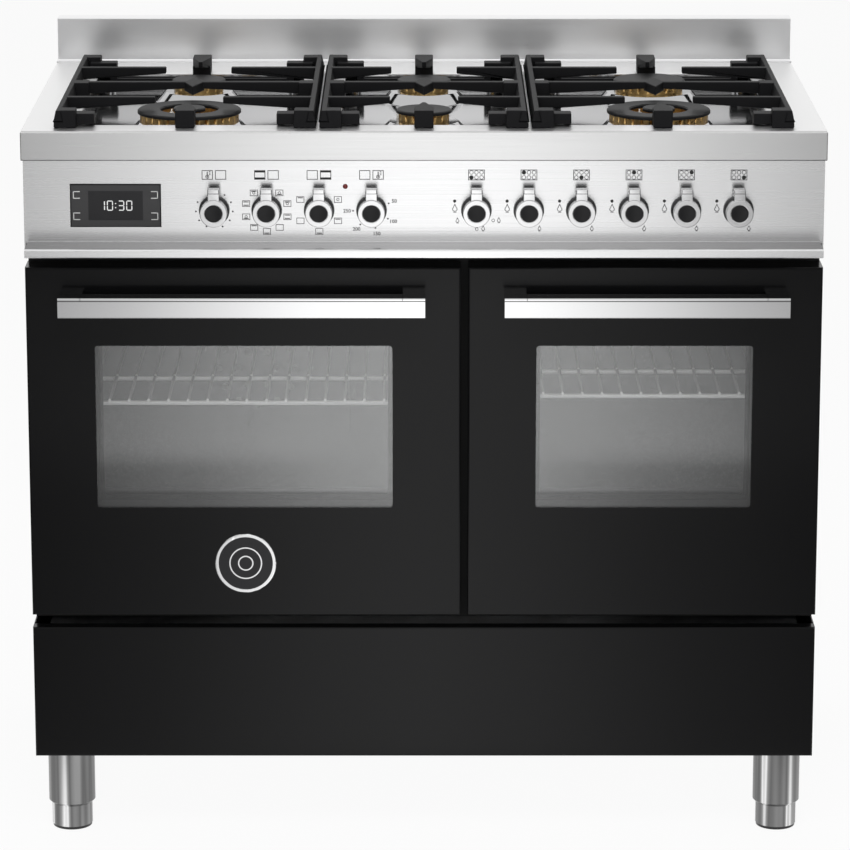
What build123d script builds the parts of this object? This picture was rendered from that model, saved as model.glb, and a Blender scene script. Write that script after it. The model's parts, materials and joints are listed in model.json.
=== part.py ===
"""A dual-fuel range cooker: two ovens, six gas burners, a storage flap and four levelling feet.

Millimetres. +Z is up, X runs to the viewer's right, the front faces -Y, and the origin is on the
floor under the middle of the cooker.
"""
import os
from math import cos, hypot, pi, radians, sin

from build123d import *

os.makedirs("parts", exist_ok=True)

# Overall
hob_width = 1000.0
hob_depth = 600.0          # apron face to the rear of the cooker
body_inset = 2.0           # doors, control panel and storage flap inside the hob's sides
sheet = 1.5                # body sheet steel

# Heights, from the floor up
leg_height = 110.0
flap_clearance = 0.5       # storage flap above the base line
flap_height = 172.0
finger_gap = 16.5          # between the flap and the doors
door_height = 451.0
vent_gap = 20.5            # between the doors and the shelf lip
lip_thickness = 11.5
panel_height = 104.0       # shelf to the lower edge of the apron
apron_height = 37.0
upstand_height = 57.0      # backguard above the hob rim

# Depths of the front faces
panel_setback = 9.0        # control panel behind the apron
lip_reach = 49.0           # shelf lip in front of the control panel
lip_inset = 4.0            # shelf lip inside the body's sides
door_setback = 4.0         # doors behind the apron
door_depth = 45.0
seal_gap = 8.0             # back of a closed door to the front frame
seat_gap = 0.3             # between closed moving pieces and what they shut against

# Doors
left_door_width = 544.0
door_gap = 9.5
door_edge_radius = 2.5
skin = 1.5                 # door sheet steel
window_margin = 85.5       # door side to window side
window_rise = 141.0        # door's lower edge to window bottom
window_drop = 100.0        # door top to window top
window_radius = 4.0
glass = 4.0
glass_lap = 12.0           # outer pane beyond the window, all round
pane_lip = 6.0             # liner lip that holds the inner pane
pane_play = 0.3            # inner pane to its tunnel

# Door handles
handle_projection = 54.0   # door face to handle face
handle_height = 25.6
handle_thickness = 28.0
handle_wall = 5.0
handle_margin = 44.5       # door side to handle end
handle_drop = 40.5         # door top to handle middle
handle_post = 28.0
handle_radius = 2.0

# Door hinges
hinge_depth = 20.0         # pivot from the back of the door
hinge_rise = 18.0          # pivot above the door's lower edge, so that the edge clears flap and frame
hinge_pin = 8.0
hinge_arm = 6.0            # thickness along X
hinge_arm_height = 14.0
hinge_margin = 60.0        # door side to hinge arm
hinge_cheek = 4.0
hinge_side_play = 1.0      # arm to the cheeks and the slots
hinge_pin_play = 0.05      # radial
hinge_foot = 3.0
hinge_foot_width = 26.0
hinge_swing_play = 2.0     # slots beyond the arm's edge

# Badge: a plain round boss on the wider door
badge_diameter = 77.0
badge_thickness = 3.0
badge_rim = 4.0
badge_height = 69.0        # above the door's lower edge

# Storage flap and its pivots
flap_depth = 18.0
flap_pin = 6.0
flap_pivot_inset = 9.0
flap_ear = 3.0
flap_ear_play = 0.5
flap_corner_relief = 12.0
flap_pin_play = 0.05       # radial
ear_radius = 5.0
ear_length = 40.0
swing_play = 1.0           # carcass clear of the flap's swing
tray_edge = 25.0
liner_wall = 1.2
liner_margin = 18.0
liner_depth = 430.0
liner_headroom = 4.0       # liner below the flap's top

# Ovens
cavity_wall = 1.5
cavity_radius = 3.0        # folded and welded corners
cavity_margin = 47.0       # door side to cavity side
cavity_rise = 46.0         # door's lower edge to the cavity floor
cavity_drop = 50.0         # door's upper edge to the cavity roof
service_depth = 190.0      # of the hob's depth, in front of and behind the cavities
seal_width = 6.5
seal_offset = 2.5          # mouth edge to seal

# Oven shelves
wire_sides = 6
rack_wire = 4.0
rack_frame_wire = 6.0
rack_pitch = 25.0
rack_side_play = 4.3
rack_setback = 20.0        # front frame to the front wire
rack_back_gap = 5.5        # rack to the fan cover
rack_bar_gap = 140.0       # front wire to the next cross wire
left_rack_height = 209.0   # above the cavity floor
right_rack_height = 218.0
rail_wire = 4.0
rail_levels = 4
rail_pitch = 70.0
rail_middle = 2            # the runner that carries the rack
rail_overhang = 12.0       # uprights beyond the runners
rail_inset = 40.0
runner_offset = 5.6        # oven wall to the middle of a runner

# Grill elements, lamps and the convection fan
element_wire = 7.0
element_drop = 24.0
element_margin = 60.0
element_bend = 20.0
lamp_diameter = 56.0
lamp_depth = 12.0
lamp_margin = 70.0
lamp_taper = 20.0
fan_cover_size = 250.0
fan_cover_depth = 36.0
fan_cover_wall = 1.2
fan_cover_radius = 30.0
fan_cover_hole = 10.0
fan_cover_pitch = 26.0
fan_cover_rings = 3
fan_diameter = 150.0
fan_width = 20.0
fan_blades = 8
fan_blade_thickness = 2.0
fan_blade_length = 39.0
fan_eye = 69.0             # open middle of the impeller, across the blades' inner ends
fan_shaft = 8.0
fan_shaft_play = 0.05
fan_shaft_engagement = 20.0
shaft_hole_play = 2.0
fan_back_gap = 6.0
motor_diameter = 84.0
motor_length = 52.0

# Hob
well_depth = 22.0
well_front = 46.0          # apron face to the wells
well_rear = 149.0          # wells to the rear edge
well_lap = 25.5            # well's side inside the pan support's side
well_radius = 22.0
row_margin = 84.0          # end of a well to the nearer burner
dome_height = 13.0
dome_flank = 13.0          # run of the dome's slope
wok_land = 2.0             # flat of the dome beyond the wok ring
single_land = 12.0         # flat of the dome beyond a single crown
hob_edge_radius = 3.0
upstand_thickness = 27.0
upstand_foot = 28.0        # flange on the hob in front of the upstand

# Burners
wok_ring_diameter = 125.0
wok_ring_bore = 79.0
wok_core_diameter = 35.0
small_crown_diameter = 64.0
large_crown_diameter = 88.0
cap_overhang = 3.0
crown_height = 11.0
cap_thickness = 4.5
cap_chamfer = 1.5
core_rise = 2.0            # the wok's inner crown above its ring
port_width = 2.4
port_depth = 5.0
port_height = 6.0
port_pitch = 12.0
cup_diameter = 40.0
cup_depth = 36.0
cup_play = 1.0             # injector cup in the hob opening
igniter_diameter = 6.0
igniter_gap = 4.0
igniter_height = 8.0
igniter_needle = 2.0
igniter_tip = 4.0
igniter_angle = 35.0       # behind and to the left of the burner axis

# Pan supports
support_rise = 22.0        # top of the bars above the hob rim
support_margin = 40.0      # hob's side to the outer supports
support_gap = 4.0          # between supports
centre_support_width = 260.0
support_lap = 24.0         # support beyond each end of the wells
bar_width = 12.0
bar_depth = 16.0
bar_tip_depth = 8.0
rail_depth = 14.0
block_width = 28.0
block_length = 26.0
block_draft = 2.0
finger_width = 24.0
finger_tip = 5.0
finger_clear = 43.0        # burner axis to a finger tip
diamond_length = 80.0
diamond_width = 26.0
diamond_depth = 12.0
tie_width = 9.0
tie_depth = 8.0
tie_gap = 3.0              # tie bar to the wall of the well
tie_drop = 5.0             # tie bar below the hob rim
tie_inset = 15.0           # tie bar's end to the side of the well
hook_lift = 2.0            # hook above the support's feet
hook_drop = 6.0            # hook below the top of the bars
finger_lift = 9.0          # pointed finger over the edge of the well
web_lap = 2.0              # tie bar's web into the finger
foot_clear = 4.0           # finger's foot short of the edge of the well
foot_gap = 0.3             # pan support above the hob rim

# Control panel
knob_axis_height = 40.0    # above the shelf
knob_margin = 106.8        # body's side to the last burner knob's axis
oven_knobs = 4
burner_knobs = 6
spindle_hole = 12.0
clock_margin = 58.0        # body's side to the clock
clock_width = 113.0
clock_height = 54.5
clock_rise = 46.0          # middle of the clock above the shelf
clock_stand = 1.0
clock_play = 0.2
clock_depth = 24.0
clock_frame = 3.0
lamp_rise = 70.0
indicator_diameter = 6.0
indicator_stand = 1.5
indicator_holder = 10.0
panel_tuck = 24.0          # panel behind the apron
panel_return = 10.0        # panel's lower fold beyond the front frame
lip_radius = 2.5

# Knobs
knob_base = 38.0
knob_face = 34.0
knob_length = 26.0
knob_gap = 1.0             # skirt in front of the panel
knob_skirt = 4.0           # skirt's front from the panel
lever_setback = 2.0        # lever behind the knob's face
insert_diameter = 22.0     # recess in the knob's face
insert_recess = 1.5
lever_width = 14.5
lever_reach = 31.0
lever_depth = 11.0
lever_tip = 6.0
lever_draft = 10.0
spindle_diameter = 8.0
spindle_play = 0.05
spindle_seat = 6.0         # spindle inside its tap or switch
spindle_end_play = 1.0

# Behind the control panel
tap_diameter = 24.0
tap_length = 34.0
tap_saddle = 16.0
tap_outlet = 13.0          # outlet boss above the tap axis
switch_size = 42.0
switch_length = 30.0
manifold_diameter = 18.0
manifold_drop = 26.0       # below the tap axes
manifold_overhang = 40.0
manifold_bend = 30.0
saddle_play = 0.1
pipe_diameter = 8.0
pipe_bend = 6.0
pipe_front_drop = 14.0     # front burners' runs below their injector cups
pipe_rear_drop = 26.0
inlet_diameter = 20.955    # half-inch gas thread
inlet_length = 14.0
inlet_stand = 2.0          # nipple behind the back panel
inlet_margin = 50.0        # inlet axis from the side of the body
inlet_hole_play = 2.0

# Rear
back_inset = 20.0          # back panel in front of the rear edge
vent_slot = 80.0
vent_slot_width = 8.0
vent_pitch_x = 110.0
vent_pitch_z = 22.0
vent_columns = 5
vent_rows = 3
vent_drop = 45.0

# Legs
leg_diameter = 60.0
leg_chamfer = 4.0
leg_inset_x = 43.0         # hob side to leg axis
leg_inset_y = 60.0         # apron face, or rear edge, to leg axis
foot_diameter = 52.0
foot_height = 32.0
foot_stem = 20.0
foot_thread = 30.0
stem_head_room = 4.0
stem_play = 0.08

# Planes and levels that follow from the sizes above
handle_stand = handle_projection - door_setback
rear_y = (hob_depth + handle_stand) / 2
apron_y = rear_y - hob_depth
panel_y = apron_y + panel_setback
lip_y = panel_y - lip_reach
door_y = apron_y + door_setback
door_back_y = door_y + door_depth
frame_y = door_back_y + seal_gap
cavity_y = frame_y + sheet
back_y = rear_y - back_inset
half_hob = hob_width / 2
half_body = half_hob - body_inset
half_lip = half_body - lip_inset

base_z = leg_height
flap_bottom_z = base_z + flap_clearance
flap_top_z = flap_bottom_z + flap_height
door_bottom_z = flap_top_z + finger_gap
door_top_z = door_bottom_z + door_height
lip_bottom_z = door_top_z + vent_gap
shelf_z = lip_bottom_z + lip_thickness
apron_bottom_z = shelf_z + panel_height
rim_z = apron_bottom_z + apron_height
well_floor_z = rim_z - well_depth
dome_z = well_floor_z + dome_height
dome_step = sheet / 2      # inside of the dome's slope from its outside
support_top_z = rim_z + support_rise
knob_z = shelf_z + knob_axis_height
cavity_floor_z = door_bottom_z + cavity_rise

left_door_x = (-half_body, -half_body + left_door_width)
right_door_x = (left_door_x[1] + door_gap, half_body)
left_oven_x = sum(left_door_x) / 2
right_oven_x = sum(right_door_x) / 2
hinge_y = door_back_y - hinge_depth
hinge_z = door_bottom_z + hinge_rise
flap_back_y = door_y + flap_depth
flap_pivot_y = door_y + flap_pivot_inset
flap_pivot_z = flap_bottom_z + flap_pivot_inset

well_length = hob_depth - well_front - well_rear
row_pitch = well_length - 2 * row_margin
support_length = well_length + 2 * support_lap
side_support_width = half_hob - support_margin - support_gap - centre_support_width / 2
side_well_width = side_support_width - 2 * well_lap
centre_well_width = centre_support_width - 2 * well_lap
column_x = (centre_support_width + side_support_width) / 2 + support_gap
well_y = apron_y + well_front + well_length / 2
front_row_y = well_y - row_pitch / 2
rear_row_y = well_y + row_pitch / 2
knob_pitch = (half_body - knob_margin) / burner_knobs
knob_xs = [side * knob_pitch * step for side, count in ((-1, oven_knobs), (1, burner_knobs))
           for step in range(1, count + 1)]
oven_knob_xs = sorted(x for x in knob_xs if x < 0)
burner_knob_xs = sorted(x for x in knob_xs if x > 0)

# Storage flap swing, and what stands just behind it
flap_swing = hypot(flap_pivot_inset, flap_depth - flap_pivot_inset)
kick_y = flap_pivot_y + flap_swing + swing_play
inner_half = half_body - sheet
side_top_z = rim_z - 2 * sheet
side_back_y = rear_y - sheet
ear_x = half_body - skin - flap_ear_play
liner_half = inner_half - liner_margin
liner_top_z = flap_top_z - liner_headroom

cavity_depth = hob_depth - service_depth
cavity_height = door_height - cavity_rise - cavity_drop
left_cavity_width = left_door_width - 2 * cavity_margin
right_cavity_width = right_door_x[1] - right_door_x[0] - 2 * cavity_margin
window_height = door_height - window_drop - window_rise
cavity_back_y = cavity_y + cavity_depth
cavity_mid_z = cavity_floor_z + cavity_height / 2
ovens = ((left_oven_x, left_cavity_width), (right_oven_x, right_cavity_width))
hinge_xs = [x for low, high in (left_door_x, right_door_x)
            for x in (low + hinge_margin, high - hinge_margin)]
rack_y = frame_y + rack_setback
rack_depth = cavity_back_y - fan_cover_depth - rack_back_gap - rack_y
wire_flat = cos(pi / wire_sides)     # a wire's flats from its middle, as a share of its radius
rack_heights = (left_rack_height, right_rack_height)
upstand_y = rear_y - upstand_thickness
upstand_top_z = rim_z + upstand_height
panel_top_z = apron_bottom_z + panel_tuck
tap_y = panel_y + sheet + tap_length / 2
manifold_z = knob_z - manifold_drop
inlet_x = half_body - inlet_margin
clock_x = -half_body + clock_margin + clock_width / 2
lamp_x = (oven_knob_xs[-2] + oven_knob_xs[-1]) / 2
inlet_y = back_y + sheet + inlet_stand
leg_x = half_hob - leg_inset_x
leg_places = [(side * leg_x, y) for y in (apron_y + leg_inset_y, rear_y - leg_inset_y) for side in (-1, 1)]
foot_names = ("foot_front_left", "foot_front_right", "foot_rear_left", "foot_rear_right")

# Burners in the order of their knobs: place, crown diameter, and the ring of the wok burners
burner_places = [(-column_x, front_row_y), (-column_x, rear_row_y), (0, front_row_y),
                 (0, rear_row_y), (column_x, rear_row_y), (column_x, front_row_y)]
wok_places = [burner_places[0], burner_places[5]]
small_places = [burner_places[1], burner_places[2], burner_places[3]]
large_places = [burner_places[4]]
wells = ((-column_x, side_well_width), (0, centre_well_width), (column_x, side_well_width))
domes = ([(place, wok_ring_diameter / 2 + wok_land) for place in wok_places]
         + [(place, small_crown_diameter / 2 + single_land) for place in small_places]
         + [(place, large_crown_diameter / 2 + single_land) for place in large_places])
caps = ([(place, wok_ring_diameter, wok_ring_bore, 0) for place in wok_places]
        + [(place, wok_core_diameter, 0, core_rise) for place in wok_places]
        + [(place, small_crown_diameter, 0, 0) for place in small_places]
        + [(place, large_crown_diameter, 0, 0) for place in large_places])
wok_spark_reach = (wok_ring_bore + wok_core_diameter) / 4
single_spark_gap = igniter_gap + igniter_diameter / 2
igniters = ([(place, wok_spark_reach) for place in wok_places]
            + [(place, small_crown_diameter / 2 + single_spark_gap) for place in small_places]
            + [(place, large_crown_diameter / 2 + single_spark_gap) for place in large_places])


def front_plane(y):
    """A plane facing the front of the cooker, X to the right and Z up."""
    return Plane.XZ.offset(-y)


def write(piece, name):
    """Label a finished piece and write it under its own name."""
    piece.label = name
    export_step(piece, f"parts/{name}.step")


def slab(x, y, z, mode=Mode.ADD):
    """A plate between two corners, each axis given as (low, high)."""
    with Locations(((x[0] + x[1]) / 2, (y[0] + y[1]) / 2, (z[0] + z[1]) / 2)):
        Box(x[1] - x[0], y[1] - y[0], z[1] - z[0], mode=mode)


# Side panels: one sheet each, stepped forward beside the storage flap
for side, name in ((-1, "side_panel_left"), (1, "side_panel_right")):
    with BuildPart() as side_panel:
        with BuildSketch(Plane.YZ.offset(side * half_body)):
            with BuildLine():
                Polyline((side_back_y, base_z), (kick_y, base_z), (kick_y, flap_top_z),
                         (frame_y, flap_top_z), (frame_y, side_top_z), (side_back_y, side_top_z),
                         close=True)
            make_face()
        extrude(amount=-side * sheet)
    write(side_panel.part, name)

# Back panel: between the side panels, with rows of vent slots and the gas inlet's hole
with BuildPart() as back_panel:
    slab((-inner_half, inner_half), (back_y, back_y + sheet), (base_z + sheet, apron_bottom_z))
    with BuildSketch(front_plane(back_y)):
        for vent_z in (flap_top_z + vent_drop, shelf_z - vent_drop):
            with Locations((0, vent_z)):
                with GridLocations(vent_pitch_x, vent_pitch_z, vent_columns, vent_rows):
                    Rectangle(vent_slot, vent_slot_width)
        with Locations((inlet_x, manifold_z)):
            Circle(inlet_diameter / 2 + inlet_hole_play)
    extrude(amount=-sheet, mode=Mode.SUBTRACT)
write(back_panel.part, "back_panel")

# Base tray: floor sheet, an upturned rear edge, and a pivot ear with its pin at each front corner
with BuildPart() as base_tray:
    slab((-inner_half, inner_half), (kick_y, back_y), (base_z, base_z + sheet))
    slab((-inner_half, inner_half), (back_y - sheet, back_y), (base_z + sheet, base_z + tray_edge))
    for side in (-1, 1):
        with BuildSketch(Plane.YZ.offset(side * ear_x)):
            with BuildLine():
                Polyline((kick_y + ear_length, base_z), (kick_y, base_z),
                         (kick_y, flap_pivot_z - ear_radius), (flap_pivot_y, flap_pivot_z - ear_radius))
                ThreePointArc((flap_pivot_y, flap_pivot_z - ear_radius),
                              (flap_pivot_y - ear_radius, flap_pivot_z),
                              (flap_pivot_y, flap_pivot_z + ear_radius))
                Polyline((flap_pivot_y, flap_pivot_z + ear_radius),
                         (kick_y + ear_length, flap_pivot_z + ear_radius),
                         (kick_y + ear_length, base_z))
            make_face()
        extrude(amount=-side * flap_ear)
        with BuildSketch(Plane.YZ.offset(side * (ear_x - flap_ear))):
            with Locations((flap_pivot_y, flap_pivot_z)):
                Circle(flap_pin / 2)
        extrude(amount=side * (flap_ear + flap_ear_play + skin))
write(base_tray.part, "base_tray")

# Front frame: the plate round both oven mouths, with slots for the hinge arms
with BuildPart() as front_frame:
    with BuildSketch(front_plane(frame_y)):
        with Locations((0, (flap_top_z + lip_bottom_z) / 2)):
            Rectangle(2 * inner_half, lip_bottom_z - flap_top_z)
        for oven_x, width in ovens:
            with Locations((oven_x, cavity_mid_z)):
                RectangleRounded(width, cavity_height, cavity_radius, mode=Mode.SUBTRACT)
        with Locations(*[(x, hinge_z) for x in hinge_xs]):
            Rectangle(hinge_arm + hinge_side_play, hinge_arm_height + hinge_side_play,
                      mode=Mode.SUBTRACT)
    extrude(amount=-sheet)
write(front_frame.part, "front_frame")

# Hinge arms: two to a door, hooked behind the front frame, each with its cross pin
with BuildPart() as hinge_arms:
    for x in hinge_xs:
        with BuildSketch(Plane.YZ.offset(x)):
            with BuildLine():
                Polyline((hinge_y, hinge_z + hinge_arm_height / 2),
                         (cavity_y, hinge_z + hinge_arm_height / 2),
                         (cavity_y, hinge_z - hinge_arm_height / 2),
                         (hinge_y, hinge_z - hinge_arm_height / 2))
                ThreePointArc((hinge_y, hinge_z - hinge_arm_height / 2),
                              (hinge_y - hinge_arm_height / 2, hinge_z),
                              (hinge_y, hinge_z + hinge_arm_height / 2))
            make_face()
        extrude(amount=hinge_arm / 2, both=True)
        slab((x - hinge_foot_width / 2, x + hinge_foot_width / 2), (cavity_y, cavity_y + hinge_foot),
             (hinge_z - hinge_foot_width / 2, hinge_z + hinge_foot_width / 2))
        with BuildSketch(Plane.YZ.offset(x)):
            with Locations((hinge_y, hinge_z)):
                Circle(hinge_pin / 2)
        extrude(amount=hinge_arm / 2 + hinge_side_play + hinge_cheek, both=True)
write(hinge_arms.part, "hinge_arms")

# Oven cavities: enamelled boxes open to the front; the wider one has the fan shaft's hole
for name, oven_x, width in (("oven_cavity_left", left_oven_x, left_cavity_width),
                            ("oven_cavity_right", right_oven_x, right_cavity_width)):
    with BuildPart() as cavity:
        with BuildSketch(front_plane(cavity_y)):
            with Locations((oven_x, cavity_mid_z)):
                RectangleRounded(width + 2 * cavity_wall, cavity_height + 2 * cavity_wall,
                                 cavity_radius + cavity_wall)
        extrude(amount=-(cavity_depth + cavity_wall))
        with BuildSketch(front_plane(cavity_y)):
            with Locations((oven_x, cavity_mid_z)):
                RectangleRounded(width, cavity_height, cavity_radius)
        extrude(amount=-cavity_depth, mode=Mode.SUBTRACT)
        if oven_x == left_oven_x:
            with BuildSketch(front_plane(cavity_back_y)):
                with Locations((oven_x, cavity_mid_z)):
                    Circle(fan_shaft / 2 + shaft_hole_play)
            extrude(amount=-cavity_wall, mode=Mode.SUBTRACT)
    write(cavity.part, name)

# Door seals: a flat gasket round each oven mouth, just short of the closed door
with BuildPart() as door_seals:
    with BuildSketch(front_plane(frame_y)):
        for oven_x, width in ovens:
            with Locations((oven_x, cavity_mid_z)):
                reach = seal_offset + seal_width
                RectangleRounded(width + 2 * reach, cavity_height + 2 * reach, cavity_radius + reach)
                RectangleRounded(width + 2 * seal_offset, cavity_height + 2 * seal_offset,
                                 cavity_radius + seal_offset, mode=Mode.SUBTRACT)
    extrude(amount=seal_gap - seat_gap)
write(door_seals.part, "door_seals")

# Storage liner: the open-fronted box behind the flap
with BuildPart() as storage_liner:
    slab((-liner_half, liner_half), (kick_y, kick_y + liner_depth), (base_z + sheet, liner_top_z))
    slab((-liner_half + liner_wall, liner_half - liner_wall),
         (kick_y, kick_y + liner_depth - liner_wall),
         (base_z + sheet + liner_wall, liner_top_z - liner_wall), mode=Mode.SUBTRACT)
write(storage_liner.part, "storage_liner")


def wire(start, end, diameter):
    """A straight wire between two points, added to the current part."""
    line = Line(start, end, mode=Mode.PRIVATE)
    section = Plane(origin=start, z_dir=line.tangent_at(0))
    with BuildSketch(section) as profile:
        RegularPolygon(diameter / 2, wire_sides)
    extrude(profile.sketch, amount=line.length)


# Rack rails: a wire ladder on each side wall of each oven
with BuildPart() as rack_rails:
    for (oven_x, width), rack_height in zip(ovens, rack_heights):
        for side in (-1, 1):
            wall_x = oven_x + side * width / 2
            upright_x = wall_x - side * rail_wire / 2
            runner_x = wall_x - side * runner_offset
            heights = [cavity_floor_z + rack_height + (level - rail_middle) * rail_pitch
                       for level in range(rail_levels)]
            for y in (rack_y + rail_inset, rack_y + rack_depth - rail_inset):
                wire((upright_x, y, heights[0] - rail_overhang),
                     (upright_x, y, heights[-1] + rail_overhang), rail_wire)
            for height in heights:
                wire((runner_x, rack_y, height), (runner_x, rack_y + rack_depth, height), rail_wire)
write(rack_rails.part, "rack_rails")

# Oven racks: a wire frame with long wires front to back
for name, (oven_x, width), rack_height in (("rack_left", ovens[0], rack_heights[0]),
                                           ("rack_right", ovens[1], rack_heights[1])):
    half_rack = width / 2 - rack_side_play - rack_frame_wire / 2
    frame_z = cavity_floor_z + rack_height + (rail_wire + rack_frame_wire) / 2 * wire_flat
    wire_z = frame_z + rack_frame_wire / 2
    count = int(half_rack / rack_pitch)
    with BuildPart() as rack:
        for side in (-1, 1):
            wire((oven_x + side * half_rack, rack_y, frame_z),
                 (oven_x + side * half_rack, rack_y + rack_depth, frame_z), rack_frame_wire)
        for y in (rack_y + rack_frame_wire / 2, rack_y + rack_bar_gap,
                  rack_y + rack_depth - rack_frame_wire / 2):
            wire((oven_x - half_rack, y, frame_z), (oven_x + half_rack, y, frame_z), rack_frame_wire)
        for step in range(-count, count + 1):
            wire((oven_x + step * rack_pitch, rack_y, wire_z),
                 (oven_x + step * rack_pitch, rack_y + rack_depth, wire_z), rack_wire)
    write(rack.part, name)

# Grill elements: a looped tube under each oven roof, its ends against the back wall
with BuildPart() as grill_elements:
    for oven_x, width in ovens:
        element_z = cavity_floor_z + cavity_height - element_drop
        outer = width / 2 - element_margin
        inner = outer / 3
        front = cavity_y + element_margin
        middle = cavity_back_y - element_margin
        stations = [(-outer, cavity_back_y), (-outer, front), (-inner, front), (-inner, middle),
                    (inner, middle), (inner, front), (outer, front), (outer, cavity_back_y)]
        with BuildLine() as element_path:
            FilletPolyline(*[(oven_x + x, y, element_z) for x, y in stations], radius=element_bend)
        with BuildSketch(Plane(origin=element_path.line @ 0, z_dir=element_path.line % 0)):
            RegularPolygon(element_wire / 2, 6)
        sweep(path=element_path.line, transition=Transition.ROUND)
write(grill_elements.part, "grill_elements")

# Lamp lenses: a shallow glass dome on each oven's back wall
with BuildPart() as lamp_lenses:
    for oven_x, width in ovens:
        with BuildSketch(front_plane(cavity_back_y)):
            with Locations((oven_x + width / 2 - lamp_margin,
                            cavity_floor_z + cavity_height - lamp_margin)):
                Circle(lamp_diameter / 2)
        extrude(amount=lamp_depth, taper=lamp_taper)
write(lamp_lenses.part, "lamp_lenses")

# Fan cover: a perforated pan on the wider oven's back wall
with BuildPart() as fan_cover:
    with BuildSketch(front_plane(cavity_back_y)):
        with Locations((left_oven_x, cavity_mid_z)):
            RectangleRounded(fan_cover_size, fan_cover_size, fan_cover_radius)
    extrude(amount=fan_cover_depth)
    with BuildSketch(front_plane(cavity_back_y)):
        with Locations((left_oven_x, cavity_mid_z)):
            RectangleRounded(fan_cover_size - 2 * fan_cover_wall, fan_cover_size - 2 * fan_cover_wall,
                             fan_cover_radius - fan_cover_wall)
    extrude(amount=fan_cover_depth - fan_cover_wall, mode=Mode.SUBTRACT)
    with BuildSketch(front_plane(cavity_back_y - fan_cover_depth)):
        with Locations((left_oven_x, cavity_mid_z)):
            for ring in range(1, fan_cover_rings + 1):
                with PolarLocations(ring * fan_cover_pitch, 6 * ring):
                    RegularPolygon(fan_cover_hole / 2, 6)
    extrude(amount=-fan_cover_wall, mode=Mode.SUBTRACT)
write(fan_cover.part, "fan_cover")

# Fan: a radial impeller on its shaft, behind the cover
fan_plate_y = cavity_back_y - fan_back_gap
with BuildPart() as fan_blade:
    with BuildSketch(front_plane(fan_plate_y)):
        with Locations((left_oven_x, cavity_mid_z)):
            Circle(fan_diameter / 2)
    extrude(amount=fan_blade_thickness)
    with BuildSketch(front_plane(fan_plate_y)):
        with Locations((left_oven_x, cavity_mid_z)):
            with PolarLocations((fan_eye + fan_blade_length) / 2, fan_blades):
                Rectangle(fan_blade_length, fan_blade_thickness)
    extrude(amount=fan_width)
    with BuildSketch(front_plane(fan_plate_y - fan_width)):
        with Locations((left_oven_x, cavity_mid_z)):
            Circle(fan_shaft / 2)
    extrude(amount=-(fan_width + fan_back_gap + cavity_wall + fan_shaft_engagement))
write(fan_blade.part, "fan_blade")

# Fan motor: bolted to the back of the wider oven, with the shaft's bore
with BuildPart() as fan_motor:
    with BuildSketch(front_plane(cavity_back_y + cavity_wall)):
        with Locations((left_oven_x, cavity_mid_z)):
            Circle(motor_diameter / 2)
            Circle(fan_shaft / 2 + fan_shaft_play, mode=Mode.SUBTRACT)
    extrude(amount=-motor_length)
write(fan_motor.part, "fan_motor")

# Hob top: a pressed sheet with folded edges, three wells, and a raised dome with a hole for each burner
with BuildPart() as hob_top:
    slab((-half_hob, half_hob), (apron_y, rear_y), (apron_bottom_z, rim_z))
    top_edges = hob_top.faces().sort_by(Axis.Z)[-1].edges()
    fillet(top_edges.sort_by(Axis.Y)[:3], radius=hob_edge_radius)
    slab((-half_hob + sheet, half_hob - sheet), (apron_y + sheet, rear_y - sheet),
         (apron_bottom_z, rim_z - sheet), mode=Mode.SUBTRACT)
    for x, width in wells:
        with BuildSketch(Plane.XY.offset(rim_z - sheet)):
            with Locations((x, well_y)):
                RectangleRounded(width + 2 * sheet, well_length + 2 * sheet, well_radius + sheet)
        extrude(amount=-well_depth)
        with BuildSketch(Plane.XY.offset(rim_z)):
            with Locations((x, well_y)):
                RectangleRounded(width, well_length, well_radius)
        extrude(amount=-well_depth, mode=Mode.SUBTRACT)
    for (x, y), land in domes:
        with BuildSketch(Plane.XY.offset(well_floor_z - sheet)):
            with Locations((x, y)):
                Circle(land + dome_flank)
        extrude(amount=sheet, mode=Mode.SUBTRACT)
        with BuildSketch(Plane(origin=(x, y, 0), x_dir=(1, 0, 0), z_dir=(0, -1, 0))):
            with BuildLine():
                Polyline((land + dome_flank, well_floor_z), (land, dome_z),
                         (cup_diameter / 2 + cup_play, dome_z),
                         (cup_diameter / 2 + cup_play, dome_z - sheet),
                         (land - dome_step, dome_z - sheet),
                         (land + dome_flank - dome_step, well_floor_z - sheet),
                         (land + dome_flank, well_floor_z - sheet), close=True)
            make_face()
        revolve(axis=Axis((x, y, 0), (0, 0, 1)))
write(hob_top.part, "hob_top")

# Backguard: a folded upstand along the rear of the hob, closed at both ends
with BuildPart() as backguard:
    with BuildSketch(Plane.YZ):
        with BuildLine():
            Polyline((upstand_y - upstand_foot, rim_z), (upstand_y - upstand_foot, rim_z + sheet),
                     (upstand_y, rim_z + sheet), (upstand_y, upstand_top_z), (rear_y, upstand_top_z),
                     (rear_y, rim_z), (rear_y - sheet, rim_z),
                     (rear_y - sheet, upstand_top_z - sheet),
                     (upstand_y + sheet, upstand_top_z - sheet), (upstand_y + sheet, rim_z), close=True)
        make_face()
    extrude(amount=half_hob, both=True)
    for side in (-1, 1):
        slab(sorted((side * half_hob, side * (half_hob - sheet))), (upstand_y, rear_y),
             (rim_z, upstand_top_z))
    fillet(backguard.edges().filter_by(Axis.X).group_by(Axis.Z)[-1], radius=hob_edge_radius / 2)
write(backguard.part, "backguard")


def port_count(diameter):
    """Flame ports round a crown of this diameter."""
    return int(pi * diameter / port_pitch)


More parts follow.
